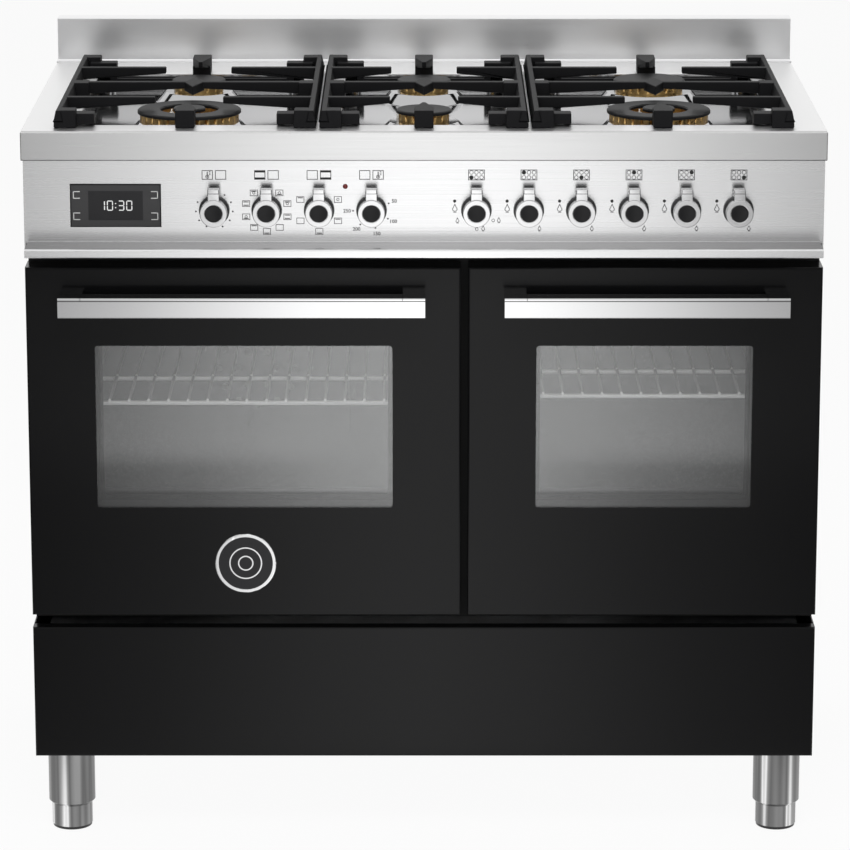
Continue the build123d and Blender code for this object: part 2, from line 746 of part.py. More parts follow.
def crown(x, y, diameter, bore, height):
    """A burner crown standing on its dome, with radial flame ports cut in its upper edge."""
    with BuildSketch(Plane.XY.offset(dome_z)) as body:
        with Locations((x, y)):
            Circle(diameter / 2)
            if bore:
                Circle(bore / 2, mode=Mode.SUBTRACT)
    extrude(body.sketch, amount=height)
    with BuildSketch(Plane.XY.offset(dome_z + height)) as ports:
        with Locations((x, y)):
            with PolarLocations(diameter / 2, port_count(diameter)):
                Rectangle(2 * port_depth, port_width)
    extrude(ports.sketch, amount=-port_height, mode=Mode.SUBTRACT)


# Wok burners: an outer ring round an inner crown
with BuildPart() as wok_burners:
    for x, y in wok_places:
        crown(x, y, wok_ring_diameter, wok_ring_bore, crown_height)
        crown(x, y, wok_core_diameter, 0, crown_height + core_rise)
write(wok_burners.part, "wok_burners")

# Single burners
with BuildPart() as single_burners:
    for x, y in small_places:
        crown(x, y, small_crown_diameter, 0, crown_height)
    for x, y in large_places:
        crown(x, y, large_crown_diameter, 0, crown_height)
write(single_burners.part, "single_burners")

# Burner caps: enamelled discs and rings lying loose on the crowns
with BuildPart() as burner_caps:
    for (x, y), diameter, bore, rise in caps:
        with BuildSketch(Plane.XY.offset(dome_z + crown_height + rise)):
            with Locations((x, y)):
                Circle(diameter / 2 + cap_overhang)
                if bore:
                    Circle(bore / 2 - cap_overhang, mode=Mode.SUBTRACT)
        extrude(amount=cap_thickness)
    chamfer(burner_caps.faces().filter_by(Axis.Z).filter_by(lambda face: face.normal_at().Z > 0)
            .edges(), length=cap_chamfer)
write(burner_caps.part, "burner_caps")

# Injector cups: under the hob, each feeding the crown above it
with BuildPart() as injector_cups:
    for x, y in burner_places:
        with BuildSketch(Plane.XY.offset(dome_z)):
            with Locations((x, y)):
                Circle(cup_diameter / 2)
        extrude(amount=-cup_depth)
write(injector_cups.part, "injector_cups")

# Spark igniters: a ceramic post with a thin electrode beside each crown
with BuildPart() as spark_igniters:
    for (x, y), reach in igniters:
        place = (x - reach * cos(radians(igniter_angle)), y + reach * sin(radians(igniter_angle)))
        with BuildSketch(Plane.XY.offset(dome_z)):
            with Locations(place):
                RegularPolygon(igniter_diameter / 2, 8)
        extrude(amount=igniter_height)
        with BuildSketch(Plane.XY.offset(dome_z + igniter_height)):
            with Locations(place):
                RegularPolygon(igniter_needle / 2, 6)
        extrude(amount=igniter_tip)
write(spark_igniters.part, "spark_igniters")


def make_support(x, width, well_width):
    """One cast pan support: a quarter is shaped, then mirrored to the other three."""
    half_width = width / 2
    front_y = well_y - support_length / 2
    rail_x = x + half_width - bar_width
    tie_y = well_y - well_length / 2 + tie_gap
    tie_end_x = x + well_width / 2 - tie_inset
    rim_end_y = well_y - well_length / 2
    finger_end_y = front_row_y - finger_clear
    foot_z = rim_z + foot_gap
    tie_top_z = rim_z - tie_drop
    with BuildPart() as support:
        # Side rail
        slab((rail_x, x + half_width), (front_y, well_y), (support_top_z - rail_depth, support_top_z))
        # Corner block, with draft
        with BuildSketch(Plane.XY.offset(foot_z)):
            with Locations((x + half_width - block_width / 2, front_y + block_length / 2)):
                Rectangle(block_width, block_length)
        extrude(amount=support_top_z - foot_z, taper=block_draft)
        # Cross finger and half of the middle bar, thinner towards the burner
        for bar_y, near_x in ((front_row_y, x + finger_clear), (well_y, x)):
            with BuildSketch(front_plane(bar_y)):
                with BuildLine():
                    Polyline((near_x, support_top_z), (rail_x + bar_width / 2, support_top_z),
                             (rail_x + bar_width / 2, support_top_z - bar_depth),
                             (near_x, support_top_z - bar_tip_depth), close=True)
                make_face()
            extrude(amount=bar_width / 2, both=bar_y == front_row_y)
        # Quarter of the diamond on the middle bar
        with BuildSketch(Plane.XY.offset(support_top_z)):
            with BuildLine():
                Polyline((x, well_y), (x + diamond_width / 2, well_y), (x, well_y - diamond_length / 2),
                         close=True)
            make_face()
        extrude(amount=-diamond_depth)
        # Half of the pointed finger that stands on the rim
        with BuildSketch(Plane.XY.offset(support_top_z)):
            with BuildLine():
                Polyline((x, front_y), (x + finger_width / 2, front_y), (x + finger_width / 2, tie_y),
                         (x + finger_tip / 2, finger_end_y), (x, finger_end_y), close=True)
            make_face()
        extrude(amount=-(support_top_z - foot_z))
        with BuildSketch(Plane.YZ.offset(x)):
            with BuildLine():
                Polyline((rim_end_y - foot_clear, foot_z), (tie_y + tie_width, foot_z + finger_lift),
                         (finger_end_y, support_top_z - bar_tip_depth), (finger_end_y, foot_z),
                         close=True)
            make_face()
        extrude(amount=finger_width, mode=Mode.SUBTRACT)
        # Half of the low tie bar in the well, its web under the finger and its hook to the corner
        slab((x, tie_end_x), (tie_y, tie_y + tie_width), (tie_top_z - tie_depth, tie_top_z))
        slab((x, x + finger_width / 2), (tie_y, tie_y + tie_width), (tie_top_z, foot_z + finger_lift + web_lap))
        slab((tie_end_x - tie_width, tie_end_x), (tie_y, tie_y + tie_width),
             (tie_top_z, support_top_z - hook_drop))
        slab((tie_end_x - tie_width, x + half_width - block_width / 2),
             (front_y + block_length / 2, tie_y + tie_width),
             (foot_z + hook_lift, support_top_z - hook_drop))
        mirror(about=Plane.YZ.offset(x))
        mirror(about=front_plane(well_y))
        # Middle blocks, one on each rail
        with BuildSketch(Plane.XY.offset(foot_z)):
            with Locations(*[(x + side * (half_width - block_width / 2), well_y) for side in (-1, 1)]):
                Rectangle(block_width, block_length)
        extrude(amount=support_top_z - foot_z, taper=block_draft)
    return support.part


for name, x, width, well_width in (
        ("pan_support_left", -column_x, side_support_width, side_well_width),
        ("pan_support_centre", 0, centre_support_width, centre_well_width),
        ("pan_support_right", column_x, side_support_width, side_well_width)):
    write(make_support(x, width, well_width), name)

# Control panel: one folded sheet from behind the apron to the front frame, with the shelf lip
with BuildPart() as control_panel:
    with BuildSketch(Plane.YZ):
        with BuildLine():
            Polyline((panel_y, panel_top_z), (panel_y, shelf_z), (lip_y, shelf_z),
                     (lip_y, lip_bottom_z), (frame_y + panel_return, lip_bottom_z),
                     (frame_y + panel_return, lip_bottom_z + sheet),
                     (lip_y + sheet, lip_bottom_z + sheet), (lip_y + sheet, shelf_z - sheet),
                     (panel_y + sheet, shelf_z - sheet), (panel_y + sheet, panel_top_z), close=True)
        make_face()
    extrude(amount=half_body, both=True)
    fillet(control_panel.edges().filter_by(Axis.X).group_by(Axis.Y)[0], radius=lip_radius)
    for side in (-1, 1):
        lip_end = side * half_lip
        slab(sorted((lip_end, side * half_body)), (lip_y, panel_y), (lip_bottom_z, shelf_z),
             mode=Mode.SUBTRACT)
        slab(sorted((lip_end, lip_end - side * sheet)), (lip_y + lip_radius, panel_y + sheet),
             (lip_bottom_z, shelf_z))
        slab(sorted((side * half_body, side * inner_half)), (panel_y, frame_y), (lip_bottom_z, panel_top_z))
        slab(sorted((side * half_body, side * inner_half)), (frame_y, frame_y + panel_return),
             (lip_bottom_z, lip_bottom_z + sheet), mode=Mode.SUBTRACT)
    with BuildSketch(front_plane(panel_y)):
        with Locations(*[(x, knob_z) for x in knob_xs]):
            Circle(spindle_hole / 2)
        with Locations((clock_x, shelf_z + clock_rise)):
            Rectangle(clock_width + 2 * clock_play, clock_height + 2 * clock_play)
        with Locations((lamp_x, shelf_z + lamp_rise)):
            Circle(indicator_diameter / 2 + clock_play)
    extrude(amount=-sheet, mode=Mode.SUBTRACT)
write(control_panel.part, "control_panel")

# Clock: a glass window through the panel, and the module behind it
with BuildPart() as clock_glass:
    with BuildSketch(front_plane(panel_y + sheet)):
        with Locations((clock_x, shelf_z + clock_rise)):
            Rectangle(clock_width, clock_height)
    extrude(amount=sheet + clock_stand)
with BuildPart() as clock_module:
    with BuildSketch(front_plane(panel_y + sheet)):
        with Locations((clock_x, shelf_z + clock_rise)):
            Rectangle(clock_width + 2 * clock_frame, clock_height + 2 * clock_frame)
    extrude(amount=-clock_depth)
write(Compound([clock_glass.part.solid(), clock_module.part.solid()]), "clock")

# Indicator lamp: a small lens through the panel on its holder
with BuildPart() as indicator_lens:
    with BuildSketch(front_plane(panel_y + sheet)):
        with Locations((lamp_x, shelf_z + lamp_rise)):
            Circle(indicator_diameter / 2)
    extrude(amount=sheet + indicator_stand)
    chamfer(indicator_lens.edges().group_by(Axis.Y)[0], length=indicator_stand / 2)
    with BuildSketch(front_plane(panel_y + sheet)):
        with Locations((lamp_x, shelf_z + lamp_rise)):
            Circle(indicator_diameter)
    extrude(amount=-indicator_holder)
write(indicator_lens.part, "indicator_lens")


def make_knob(x):
    """A turned metal knob with its spindle, a lever lug and a shallow recess in its face."""
    face = Plane(origin=(x, panel_y, knob_z), x_dir=(1, 0, 0), z_dir=(0, -1, 0))
    with BuildPart() as knob:
        with BuildSketch(Plane(origin=(x, panel_y, knob_z), x_dir=(1, 0, 0), z_dir=(0, 0, 1))):
            with BuildLine():
                Polyline((0, sheet + spindle_seat), (spindle_diameter / 2, sheet + spindle_seat),
                         (spindle_diameter / 2, -knob_gap), (knob_base / 2, -knob_gap),
                         (knob_base / 2, -knob_skirt), (knob_face / 2, -knob_skirt),
                         (knob_face / 2, -knob_length), (insert_diameter / 2, -knob_length),
                         (insert_diameter / 2, insert_recess - knob_length),
                         (0, insert_recess - knob_length), close=True)
            make_face()
        revolve(axis=Axis((x, panel_y, knob_z), (0, 1, 0)))
        with BuildSketch(face.offset(knob_length - lever_setback)):
            with Locations((0, lever_reach / 2)):
                Rectangle(lever_width, lever_reach)
        extrude(amount=-lever_depth)
        with BuildSketch(face.offset(knob_length - lever_setback)):
            with Locations((0, lever_reach - lever_tip / 2)):
                Rectangle(lever_width, lever_tip)
        extrude(amount=lever_setback, taper=lever_draft)
    return knob.part


for number, x in enumerate(oven_knob_xs, start=1):
    write(make_knob(x), f"oven_knob_{number}")
for number, x in enumerate(burner_knob_xs, start=1):
    write(make_knob(x), f"burner_knob_{number}")

# Gas taps: one behind each burner knob, saddled on the manifold
with BuildPart() as gas_taps:
    for x in burner_knob_xs:
        with BuildSketch(front_plane(panel_y + sheet)):
            with Locations((x, knob_z)):
                RegularPolygon(tap_diameter / 2, 8)
            with Locations((x, (knob_z + manifold_z) / 2)):
                Rectangle(tap_saddle, knob_z - manifold_z)
        extrude(amount=-tap_length)
        with BuildSketch(front_plane(panel_y + sheet)):
            with Locations((x, knob_z)):
                Circle(spindle_diameter / 2 + spindle_play)
        extrude(amount=-(spindle_seat + spindle_end_play), mode=Mode.SUBTRACT)
        with BuildSketch(Plane.XY.offset(knob_z)):
            with Locations((x, tap_y)):
                RegularPolygon(pipe_diameter, 6)
        extrude(amount=tap_outlet)
    with BuildSketch(Plane.YZ):
        with Locations((tap_y, manifold_z)):
            Circle(manifold_diameter / 2 + saddle_play)
    extrude(amount=half_body, mode=Mode.SUBTRACT)
write(gas_taps.part, "gas_taps")

# Gas manifold: the rail under the taps, run back to the inlet nipple behind the back panel
with BuildPart() as gas_manifold:
    with BuildLine() as manifold_path:
        FilletPolyline((burner_knob_xs[0] - manifold_overhang, tap_y, manifold_z),
                       (inlet_x, tap_y, manifold_z), (inlet_x, inlet_y, manifold_z),
                       radius=manifold_bend)
    with BuildSketch(Plane.YZ.offset(burner_knob_xs[0] - manifold_overhang)):
        with Locations((tap_y, manifold_z)):
            Circle(manifold_diameter / 2)
    sweep(path=manifold_path.line)
    with BuildSketch(front_plane(inlet_y)):
        with Locations((inlet_x, manifold_z)):
            Circle(inlet_diameter / 2)
    extrude(amount=-inlet_length)
write(gas_manifold.part, "gas_manifold")

# Supply pipes: from each tap to its burner, the front burners' runs above the rear ones'
with BuildPart() as supply_pipes:
    for x, (burner_x, burner_y) in zip(burner_knob_xs, burner_places):
        drop = pipe_front_drop if burner_y == front_row_y else pipe_rear_drop
        run_z = dome_z - cup_depth - drop
        with BuildLine() as pipe_path:
            FilletPolyline((x, tap_y, knob_z + tap_outlet), (x, tap_y, run_z),
                           (burner_x, burner_y, run_z), (burner_x, burner_y, dome_z - cup_depth),
                           radius=pipe_bend)
        with BuildSketch(Plane.XY.offset(knob_z + tap_outlet)):
            with Locations((x, tap_y)):
                RegularPolygon(pipe_diameter / 2, 6)
        sweep(path=pipe_path.line)
write(supply_pipes.part, "supply_pipes")

# Oven switches: a thermostat and a function selector for each oven, behind their knobs
with BuildPart() as oven_switches:
    with BuildSketch(front_plane(panel_y + sheet)):
        with Locations(*[(x, knob_z) for x in oven_knob_xs]):
            Rectangle(switch_size, switch_size)
    extrude(amount=-switch_length)
    with BuildSketch(front_plane(panel_y + sheet)):
        with Locations(*[(x, knob_z) for x in oven_knob_xs]):
            Circle(spindle_diameter / 2 + spindle_play)
    extrude(amount=-(spindle_seat + spindle_end_play), mode=Mode.SUBTRACT)
write(oven_switches.part, "oven_switches")


def make_door(name, door_x):
    """A drop-down oven door: enamelled skin, two panes, liner with hinge cheeks, and bar handle."""
    low_x, high_x = door_x
    middle_x = (low_x + high_x) / 2
    window_width = high_x - low_x - 2 * window_margin
    window_z = door_top_z - window_drop - window_height / 2
    arms = (low_x + hinge_margin, high_x - hinge_margin)
    slot_half = hinge_arm / 2 + hinge_side_play
    slot_reach = hinge_arm_height / 2 + hinge_swing_play
    liner_y = door_back_y - skin
    pane_y = door_y + skin + glass

    with BuildPart() as panel:
        slab(door_x, (door_y, liner_y), (door_bottom_z, door_top_z))
        fillet(panel.faces().sort_by(Axis.Y)[0].edges(), radius=door_edge_radius)
        slab((low_x + skin, high_x - skin), (door_y + skin, liner_y),
             (door_bottom_z + skin, door_top_z - skin), mode=Mode.SUBTRACT)
        with BuildSketch(front_plane(door_y)):
            with Locations((middle_x, window_z)):
                RectangleRounded(window_width, window_height, window_radius)
        extrude(amount=-skin, mode=Mode.SUBTRACT)
        for x in arms:
            slab((x - slot_half, x + slot_half), (hinge_y - slot_reach, liner_y),
                 (door_bottom_z, door_bottom_z + skin), mode=Mode.SUBTRACT)
    write(panel.part, f"{name}_panel")

    with BuildPart() as panes:
        with BuildSketch(front_plane(pane_y)):
            with Locations((middle_x, window_z)):
                Rectangle(window_width + 2 * glass_lap, window_height + 2 * glass_lap)
        extrude(amount=glass)
        with BuildSketch(front_plane(liner_y)):
            with Locations((middle_x, window_z)):
                Rectangle(window_width - 2 * pane_play, window_height - 2 * pane_play)
        extrude(amount=glass)
    write(panes.part, f"{name}_glass")

    with BuildPart() as liner:
        slab(door_x, (liner_y, door_back_y), (door_bottom_z, door_top_z))
        with BuildSketch(front_plane(liner_y)):
            with Locations((middle_x, window_z)):
                Rectangle(window_width + 2 * skin, window_height + 2 * skin)
                Rectangle(window_width, window_height, mode=Mode.SUBTRACT)
        extrude(amount=liner_y - pane_y)
        with BuildSketch(front_plane(liner_y)):
            with Locations((middle_x, window_z)):
                RectangleRounded(window_width - 2 * pane_lip, window_height - 2 * pane_lip, window_radius)
        extrude(amount=-skin, mode=Mode.SUBTRACT)
        for x in arms:
            slab((x - slot_half, x + slot_half), (liner_y, door_back_y),
                 (door_bottom_z, hinge_z + slot_reach), mode=Mode.SUBTRACT)
            for side in (-1, 1):
                slab(sorted((x + side * slot_half, x + side * (slot_half + hinge_cheek))),
                     (hinge_y - hinge_pin, liner_y), (door_bottom_z + skin, hinge_z + hinge_pin))
            with BuildSketch(Plane.YZ.offset(x)):
                with Locations((hinge_y, hinge_z)):
                    Circle(hinge_pin / 2 + hinge_pin_play)
            extrude(amount=slot_half + hinge_cheek, both=True, mode=Mode.SUBTRACT)
    write(liner.part, f"{name}_liner")

    handle_y = door_y - handle_projection
    handle_z = door_top_z - handle_drop
    low_end = low_x + handle_margin
    high_end = high_x - handle_margin
    low_z = handle_z - handle_height / 2
    high_z = handle_z + handle_height / 2
    with BuildPart() as bar:
        slab((low_end, high_end), (handle_y, handle_y + handle_thickness), (low_z, high_z))
        fillet(bar.edges().filter_by(Axis.X), radius=handle_radius)
        slab((low_end + handle_wall, high_end - handle_wall),
             (handle_y + handle_wall, handle_y + handle_thickness - handle_wall),
             (low_z, high_z - handle_wall), mode=Mode.SUBTRACT)
    posts = []
    for post_x in ((low_end, low_end + handle_post), (high_end - handle_post, high_end)):
        with BuildPart() as post:
            slab(post_x, (handle_y + handle_thickness, door_y),
                 (low_z + handle_radius, high_z - handle_radius))
        posts.append(post.part.solid())
    write(Compound([bar.part.solid(), *posts]), f"{name}_handle")


make_door("door_left", left_door_x)
make_door("door_right", right_door_x)

# Badge: a plain disc with a raised rim on the wider door
with BuildPart() as badge:
    with BuildSketch(front_plane(door_y)):
        with Locations((left_oven_x, door_bottom_z + badge_height)):
            Circle(badge_diameter / 2)
    extrude(amount=badge_thickness)
    chamfer(badge.edges().group_by(Axis.Y)[0], length=badge_thickness / 3)
    with BuildSketch(front_plane(door_y - badge_thickness)):
        with Locations((left_oven_x, door_bottom_z + badge_height)):
            Circle(badge_diameter / 2 - badge_rim)
    extrude(amount=-badge_thickness / 3, mode=Mode.SUBTRACT)
write(badge.part, "badge")

# Storage flap: a shallow pan hinged at its lower corners on the base tray's ears
with BuildPart() as storage_flap:
    slab((-half_body, half_body), (door_y, flap_back_y), (flap_bottom_z, flap_top_z))
    fillet(storage_flap.faces().sort_by(Axis.Y)[0].edges(), radius=door_edge_radius)
    slab((-half_body + skin, half_body - skin), (door_y + skin, flap_back_y),
         (flap_bottom_z + skin, flap_top_z - skin), mode=Mode.SUBTRACT)
    for side in (-1, 1):
        corner = side * (half_body - skin)
        slab(sorted((corner, corner - side * flap_corner_relief)), (door_y + door_edge_radius, flap_back_y),
             (flap_bottom_z, flap_bottom_z + skin), mode=Mode.SUBTRACT)
        with BuildSketch(Plane.YZ.offset(corner)):
            with Locations((flap_pivot_y, flap_pivot_z)):
                Circle(flap_pin / 2 + flap_pin_play)
        extrude(amount=side * skin, mode=Mode.SUBTRACT)
write(storage_flap.part, "storage_flap")

# Legs: brushed tubes under the base tray, bored for the levelling feet
with BuildPart() as leg_tubes:
    with BuildSketch(Plane.XY.offset(foot_height)):
        with Locations(*leg_places):
            Circle(leg_diameter / 2)
    extrude(amount=base_z - foot_height)
    chamfer(leg_tubes.edges().group_by(Axis.Z)[0], length=leg_chamfer)
    with BuildSketch(Plane.XY.offset(foot_height)):
        with Locations(*leg_places):
            Circle(foot_stem / 2 + stem_play)
    extrude(amount=foot_thread + stem_head_room, mode=Mode.SUBTRACT)
write(leg_tubes.part, "leg_tubes")

# Levelling feet: a turned foot on a threaded stem, screwed up into each leg
for name, place in zip(foot_names, leg_places):
    with BuildPart() as foot:
        with BuildSketch(Plane.XY):
            with Locations(place):
                Circle(foot_diameter / 2)
        extrude(amount=foot_height)
        with BuildSketch(Plane.XY.offset(foot_height)):
            with Locations(place):
                Circle(foot_stem / 2)
        extrude(amount=foot_thread)
    write(foot.part, name)
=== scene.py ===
# %% [markdown]
# # Dressing a range cooker
# The CAD part gives every solid its true place. This lesson loads it, rounds the edges that the
# eye notices, adds the small printed and fitted details, and paints each finish with nodes.

# %% Load the frame
import json
import math

import bpy
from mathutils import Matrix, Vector

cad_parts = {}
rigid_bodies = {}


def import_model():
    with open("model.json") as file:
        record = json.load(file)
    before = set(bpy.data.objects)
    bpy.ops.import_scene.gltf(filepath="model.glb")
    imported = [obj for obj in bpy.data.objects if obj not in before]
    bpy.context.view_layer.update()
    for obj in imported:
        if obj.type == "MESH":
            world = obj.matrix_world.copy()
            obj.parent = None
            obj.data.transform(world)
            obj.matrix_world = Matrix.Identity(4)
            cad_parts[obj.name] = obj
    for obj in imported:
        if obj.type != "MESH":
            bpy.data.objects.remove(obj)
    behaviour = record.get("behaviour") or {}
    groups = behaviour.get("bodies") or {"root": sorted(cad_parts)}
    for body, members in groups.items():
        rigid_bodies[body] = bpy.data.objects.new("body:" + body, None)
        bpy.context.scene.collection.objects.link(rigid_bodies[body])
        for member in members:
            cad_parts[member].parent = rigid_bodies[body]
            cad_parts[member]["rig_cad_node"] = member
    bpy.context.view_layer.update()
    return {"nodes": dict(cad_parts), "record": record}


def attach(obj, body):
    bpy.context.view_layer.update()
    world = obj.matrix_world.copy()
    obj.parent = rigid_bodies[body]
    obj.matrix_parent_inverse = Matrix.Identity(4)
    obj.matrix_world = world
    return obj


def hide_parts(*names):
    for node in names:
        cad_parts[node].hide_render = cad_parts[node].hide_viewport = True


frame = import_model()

MM = 0.001
nodes = frame["nodes"]
record = frame["record"]
body_of = {node: body for body, members in record["behaviour"]["bodies"].items() for node in members}
slot_of = {part["node"]: part["material_slot"] for part in record["subparts"]}

# %% [markdown]
# ## Writing shader maths as Python
# Node trees get hard to read when each sum is three lines of links. A socket wrapped in a small
# class can be added and multiplied like a number, and each operator quietly adds a Math node. All
# other nodes come from one method, which sets a node up and links its sockets in one line.


# %% The socket wrapper
class Socket:
    """A node's output that Python's operators work on."""

    def __init__(self, shading, output):
        self.shading = shading
        self.output = output

    def math(self, operation, *values):
        return self.shading.node("ShaderNodeMath", {"operation": operation}, dict(enumerate(values)))

    def __add__(self, other):
        return self.math("ADD", self, other)

    def __sub__(self, other):
        return self.math("SUBTRACT", self, other)

    def __rsub__(self, other):
        return self.math("SUBTRACT", other, self)

    def __mul__(self, other):
        return self.math("MULTIPLY", self, other)

    def __lt__(self, other):
        return self.math("LESS_THAN", self, other)

    def __gt__(self, other):
        return self.math("GREATER_THAN", self, other)

    def __abs__(self):
        return self.math("ABSOLUTE", self)

    def distance(self, other):
        return abs(self - other)

    def larger(self, other):
        return self.math("MAXIMUM", self, other)

    __radd__ = __add__
    __rmul__ = __mul__


class Shading:
    """A node tree of a material or of the world."""

    def __init__(self, tree):
        self.tree = tree

    def feed(self, socket, value):
        """Give a socket a value, or link it to another node."""
        if isinstance(value, Socket):
            self.tree.links.new(value.output, socket)
        elif socket.type == "RGBA" and len(value) == 3:
            socket.default_value = (*value, 1.0)
        else:
            socket.default_value = value

    def node(self, kind, settings=None, sockets=None, output=0):
        """Add a node: its settings first, then the values or links of its sockets."""
        node = self.tree.nodes.new(kind)
        for key, value in (settings or {}).items():
            if key == "stops":
                set_stops(node.color_ramp, value)
            else:
                setattr(node, key, value)
        for key, value in (sockets or {}).items():
            self.feed(node.inputs[key], value)
        return Socket(self, node.outputs[output])


def set_stops(ramp, stops):
    """Give a colour ramp its stops: (place, grey)."""
    while len(ramp.elements) < len(stops):
        ramp.elements.new(1.0)
    for element, (place, grey) in zip(ramp.elements, stops):
        element.position = place
        element.color = (grey, grey, grey, 1.0)


print("classes ready:", Socket.__name__, Shading.__name__)

# %% [markdown]
# A finish is a material with one Principled shader. What is the same all over a surface is set on
# the shader itself, and what changes is fed by nodes that read a point's place on the cooker.


# %% The finish builder
class Finish(Shading):
    """A material with one Principled shader, whose plain values are set on the shader itself."""

    def __init__(self, name, **values):
        self.material = bpy.data.materials.new(name)
        self.material.use_nodes = True
        super().__init__(self.material.node_tree)
        self.shader = self.tree.nodes["Principled BSDF"]
        for socket, value in values.items():
            self.set(socket.replace("_", " ").title().replace("Ior", "IOR"), value)

    def set(self, socket, value):
        """Feed a socket of the shader with a value or with another node."""
        self.feed(self.shader.inputs[socket], value)

    def place(self, scale=(1, 1, 1)):
        """Where a point is on the cooker, in metres, stretched for a pattern."""
        coordinates = self.node("ShaderNodeTexCoord", output="Object")
        return self.node("ShaderNodeMapping", None, {"Vector": coordinates, "Scale": scale})

    def axis(self, letter):
        """One coordinate of a point on the cooker."""
        return self.node("ShaderNodeSeparateXYZ", None, {0: self.place()}, output=letter)

    def noise(self, scale, detail):
        return self.node("ShaderNodeTexNoise", None,
                         {"Vector": self.place(scale), "Scale": 1.0, "Detail": detail})

    def blend(self, factor, first, second):
        """A colour between two colours."""
        return self.node("ShaderNodeMix", {"data_type": "RGBA"},
                         {"Factor": factor, 6: first, 7: second}, output=2)

    def bump(self, height, strength, distance):
        self.set("Normal", self.node("ShaderNodeBump", None,
                                     {"Height": height, "Strength": strength, "Distance": distance}))


print("finish builder ready:", Finish.__name__)

# %% [markdown]
# ## Stainless steel
# The hob, control panel and backguard are brushed along their length. Real brushing is thousands
# of fine scratches, so a noise pattern is stretched a long way in one direction and used twice:
# a little in the roughness, and as a very shallow bump that smears reflections across the grain.

# %% Brushed metal
scratch_depth = 0.02 * MM
long_grain, fine_grain = (4, 700, 700), (4, 900, 900)


def brushed(name, grain, strength, **values):
    """Metal with scratches drawn out along the axis whose grain is smallest, and the scratches themselves."""
    finish = Finish(name, metallic=1.0, **values)
    scratches = finish.noise(grain, detail=3.0)
    finish.bump(scratches, strength, scratch_depth)
    return finish, scratches


guard_steel, scratches = brushed("guard_steel", long_grain, 0.35, base_color=(0.9, 0.9, 0.905))
guard_steel.set("Roughness", scratches * 0.1 + 0.25)
print("brushed:", guard_steel.material.name)

# %% [markdown]
# The hob is one sheet: a flat rim, pressed wells under the pan supports and a folded apron in front.
# The same steel shows different light on each part, and one finish paints that light into its colour
# by place: the wells are polished and painted darker as a reflection, the apron is painted darker as
# shade, and the folds and the apron's foot get thin lines of painted shade.

# %% Hob steel
rim_level, apron_foot = 923 * MM, 887 * MM
apron_back, front_fold, side_fold = -272 * MM, -274 * MM, 499 * MM
# The apron colour is painted shade and the well colour a painted reflection, on the same steel as the rim;
# the fold colour is painted shade.
rim_colour, apron_painted_shade = (0.88, 0.88, 0.88), (0.69, 0.69, 0.69)
fold_painted_shade, well_painted_reflection = (0.2, 0.2, 0.2), (0.52, 0.52, 0.525)

hob_steel, scratches = brushed("hob_steel", long_grain, 0.12)
x, y, z = (hob_steel.axis(letter) for letter in "XYZ")
apron = y < apron_back
well = (z < rim_level - 2 * MM) * (y > apron_back)
# Masks for thin lines of painted shade along the rim's folds and a painted shadow line along the apron's
# foot.
rim_fold_shade_lines = (z > rim_level - 1 * MM) * ((y < front_fold) + (abs(x) > side_fold))
apron_foot_shadow_line = apron * (z < apron_foot)
sheet_with_painted_shade = hob_steel.blend(apron, rim_colour, apron_painted_shade)
sheet_with_painted_shade = hob_steel.blend(rim_fold_shade_lines + apron_foot_shadow_line, sheet_with_painted_shade, fold_painted_shade)
hob_steel.set("Base Color", hob_steel.blend(well, sheet_with_painted_shade, well_painted_reflection))
hob_steel.set("Roughness", scratches * 0.1 + 0.33 - well * 0.29 - apron * 0.13)
print("hob rim at", rim_level, "m")

# %% [markdown]
# The control panel ends below in a shelf that faces up and mirrors the dark knobs. The shelf is smoother
# than the panel above it, and its colour is painted darker as a reflection of the knobs and their shade.

# %% Panel steel
shelf_level, shelf_back, shelf_front = 782 * MM, -267 * MM, -313 * MM
panel_steel, scratches = brushed("panel_steel", fine_grain, 0.5)
y, z = panel_steel.axis("Y"), panel_steel.axis("Z")
shelf = (z.distance(shelf_level) < 1 * MM) * (y < shelf_back) * (y > shelf_front)
# The shelf's dark colour is a painted reflection of the knobs and their shade, on the same steel as the
# panel.
panel_steel.set("Base Color", panel_steel.blend(shelf, (0.8, 0.8, 0.805), (0.19, 0.19, 0.192)))
panel_steel.set("Roughness", scratches * 0.1 + 0.21 - shelf * 0.16)
print("shelf at", shelf_level, "m")

# %% [markdown]
# The legs are drawn tube. The dark and bright bands along them are painted reflections: the noise is
# stretched upwards, and a colour ramp turns it into a few dark and bright bands. The foot stands on a black
# rubber ring.

# %% Drawn tube
painted_reflection_stops = [(0.3, 0.32), (0.43, 0.15), (0.52, 0.34), (0.58, 0.98), (0.66, 0.42), (0.8, 0.28)]
pad_height = 4 * MM

leg_steel = Finish("leg_steel", roughness=0.3)
# The ramp turns noise into painted reflections: dark and bright bands in the tube's colour.
painted_reflection_bands = leg_steel.node("ShaderNodeValToRGB", {"stops": painted_reflection_stops},
                         {0: leg_steel.noise((48, 48, 0.5), detail=1.0)})
rubber = leg_steel.axis("Z") < pad_height
leg_steel.set("Base Color", leg_steel.blend(rubber, painted_reflection_bands, (0.006, 0.006, 0.006)))
leg_steel.set("Metallic", 1 - rubber)
print("streaks on the legs:", len(painted_reflection_stops), "tones")

# %% [markdown]
# ## Enamel and plastics
# Enamel is black glass fused on steel: almost no colour of its own, only its reflection. The doors
# are the glossiest, and the sheets inside and at the sides are duller. Black plastic is duller still.

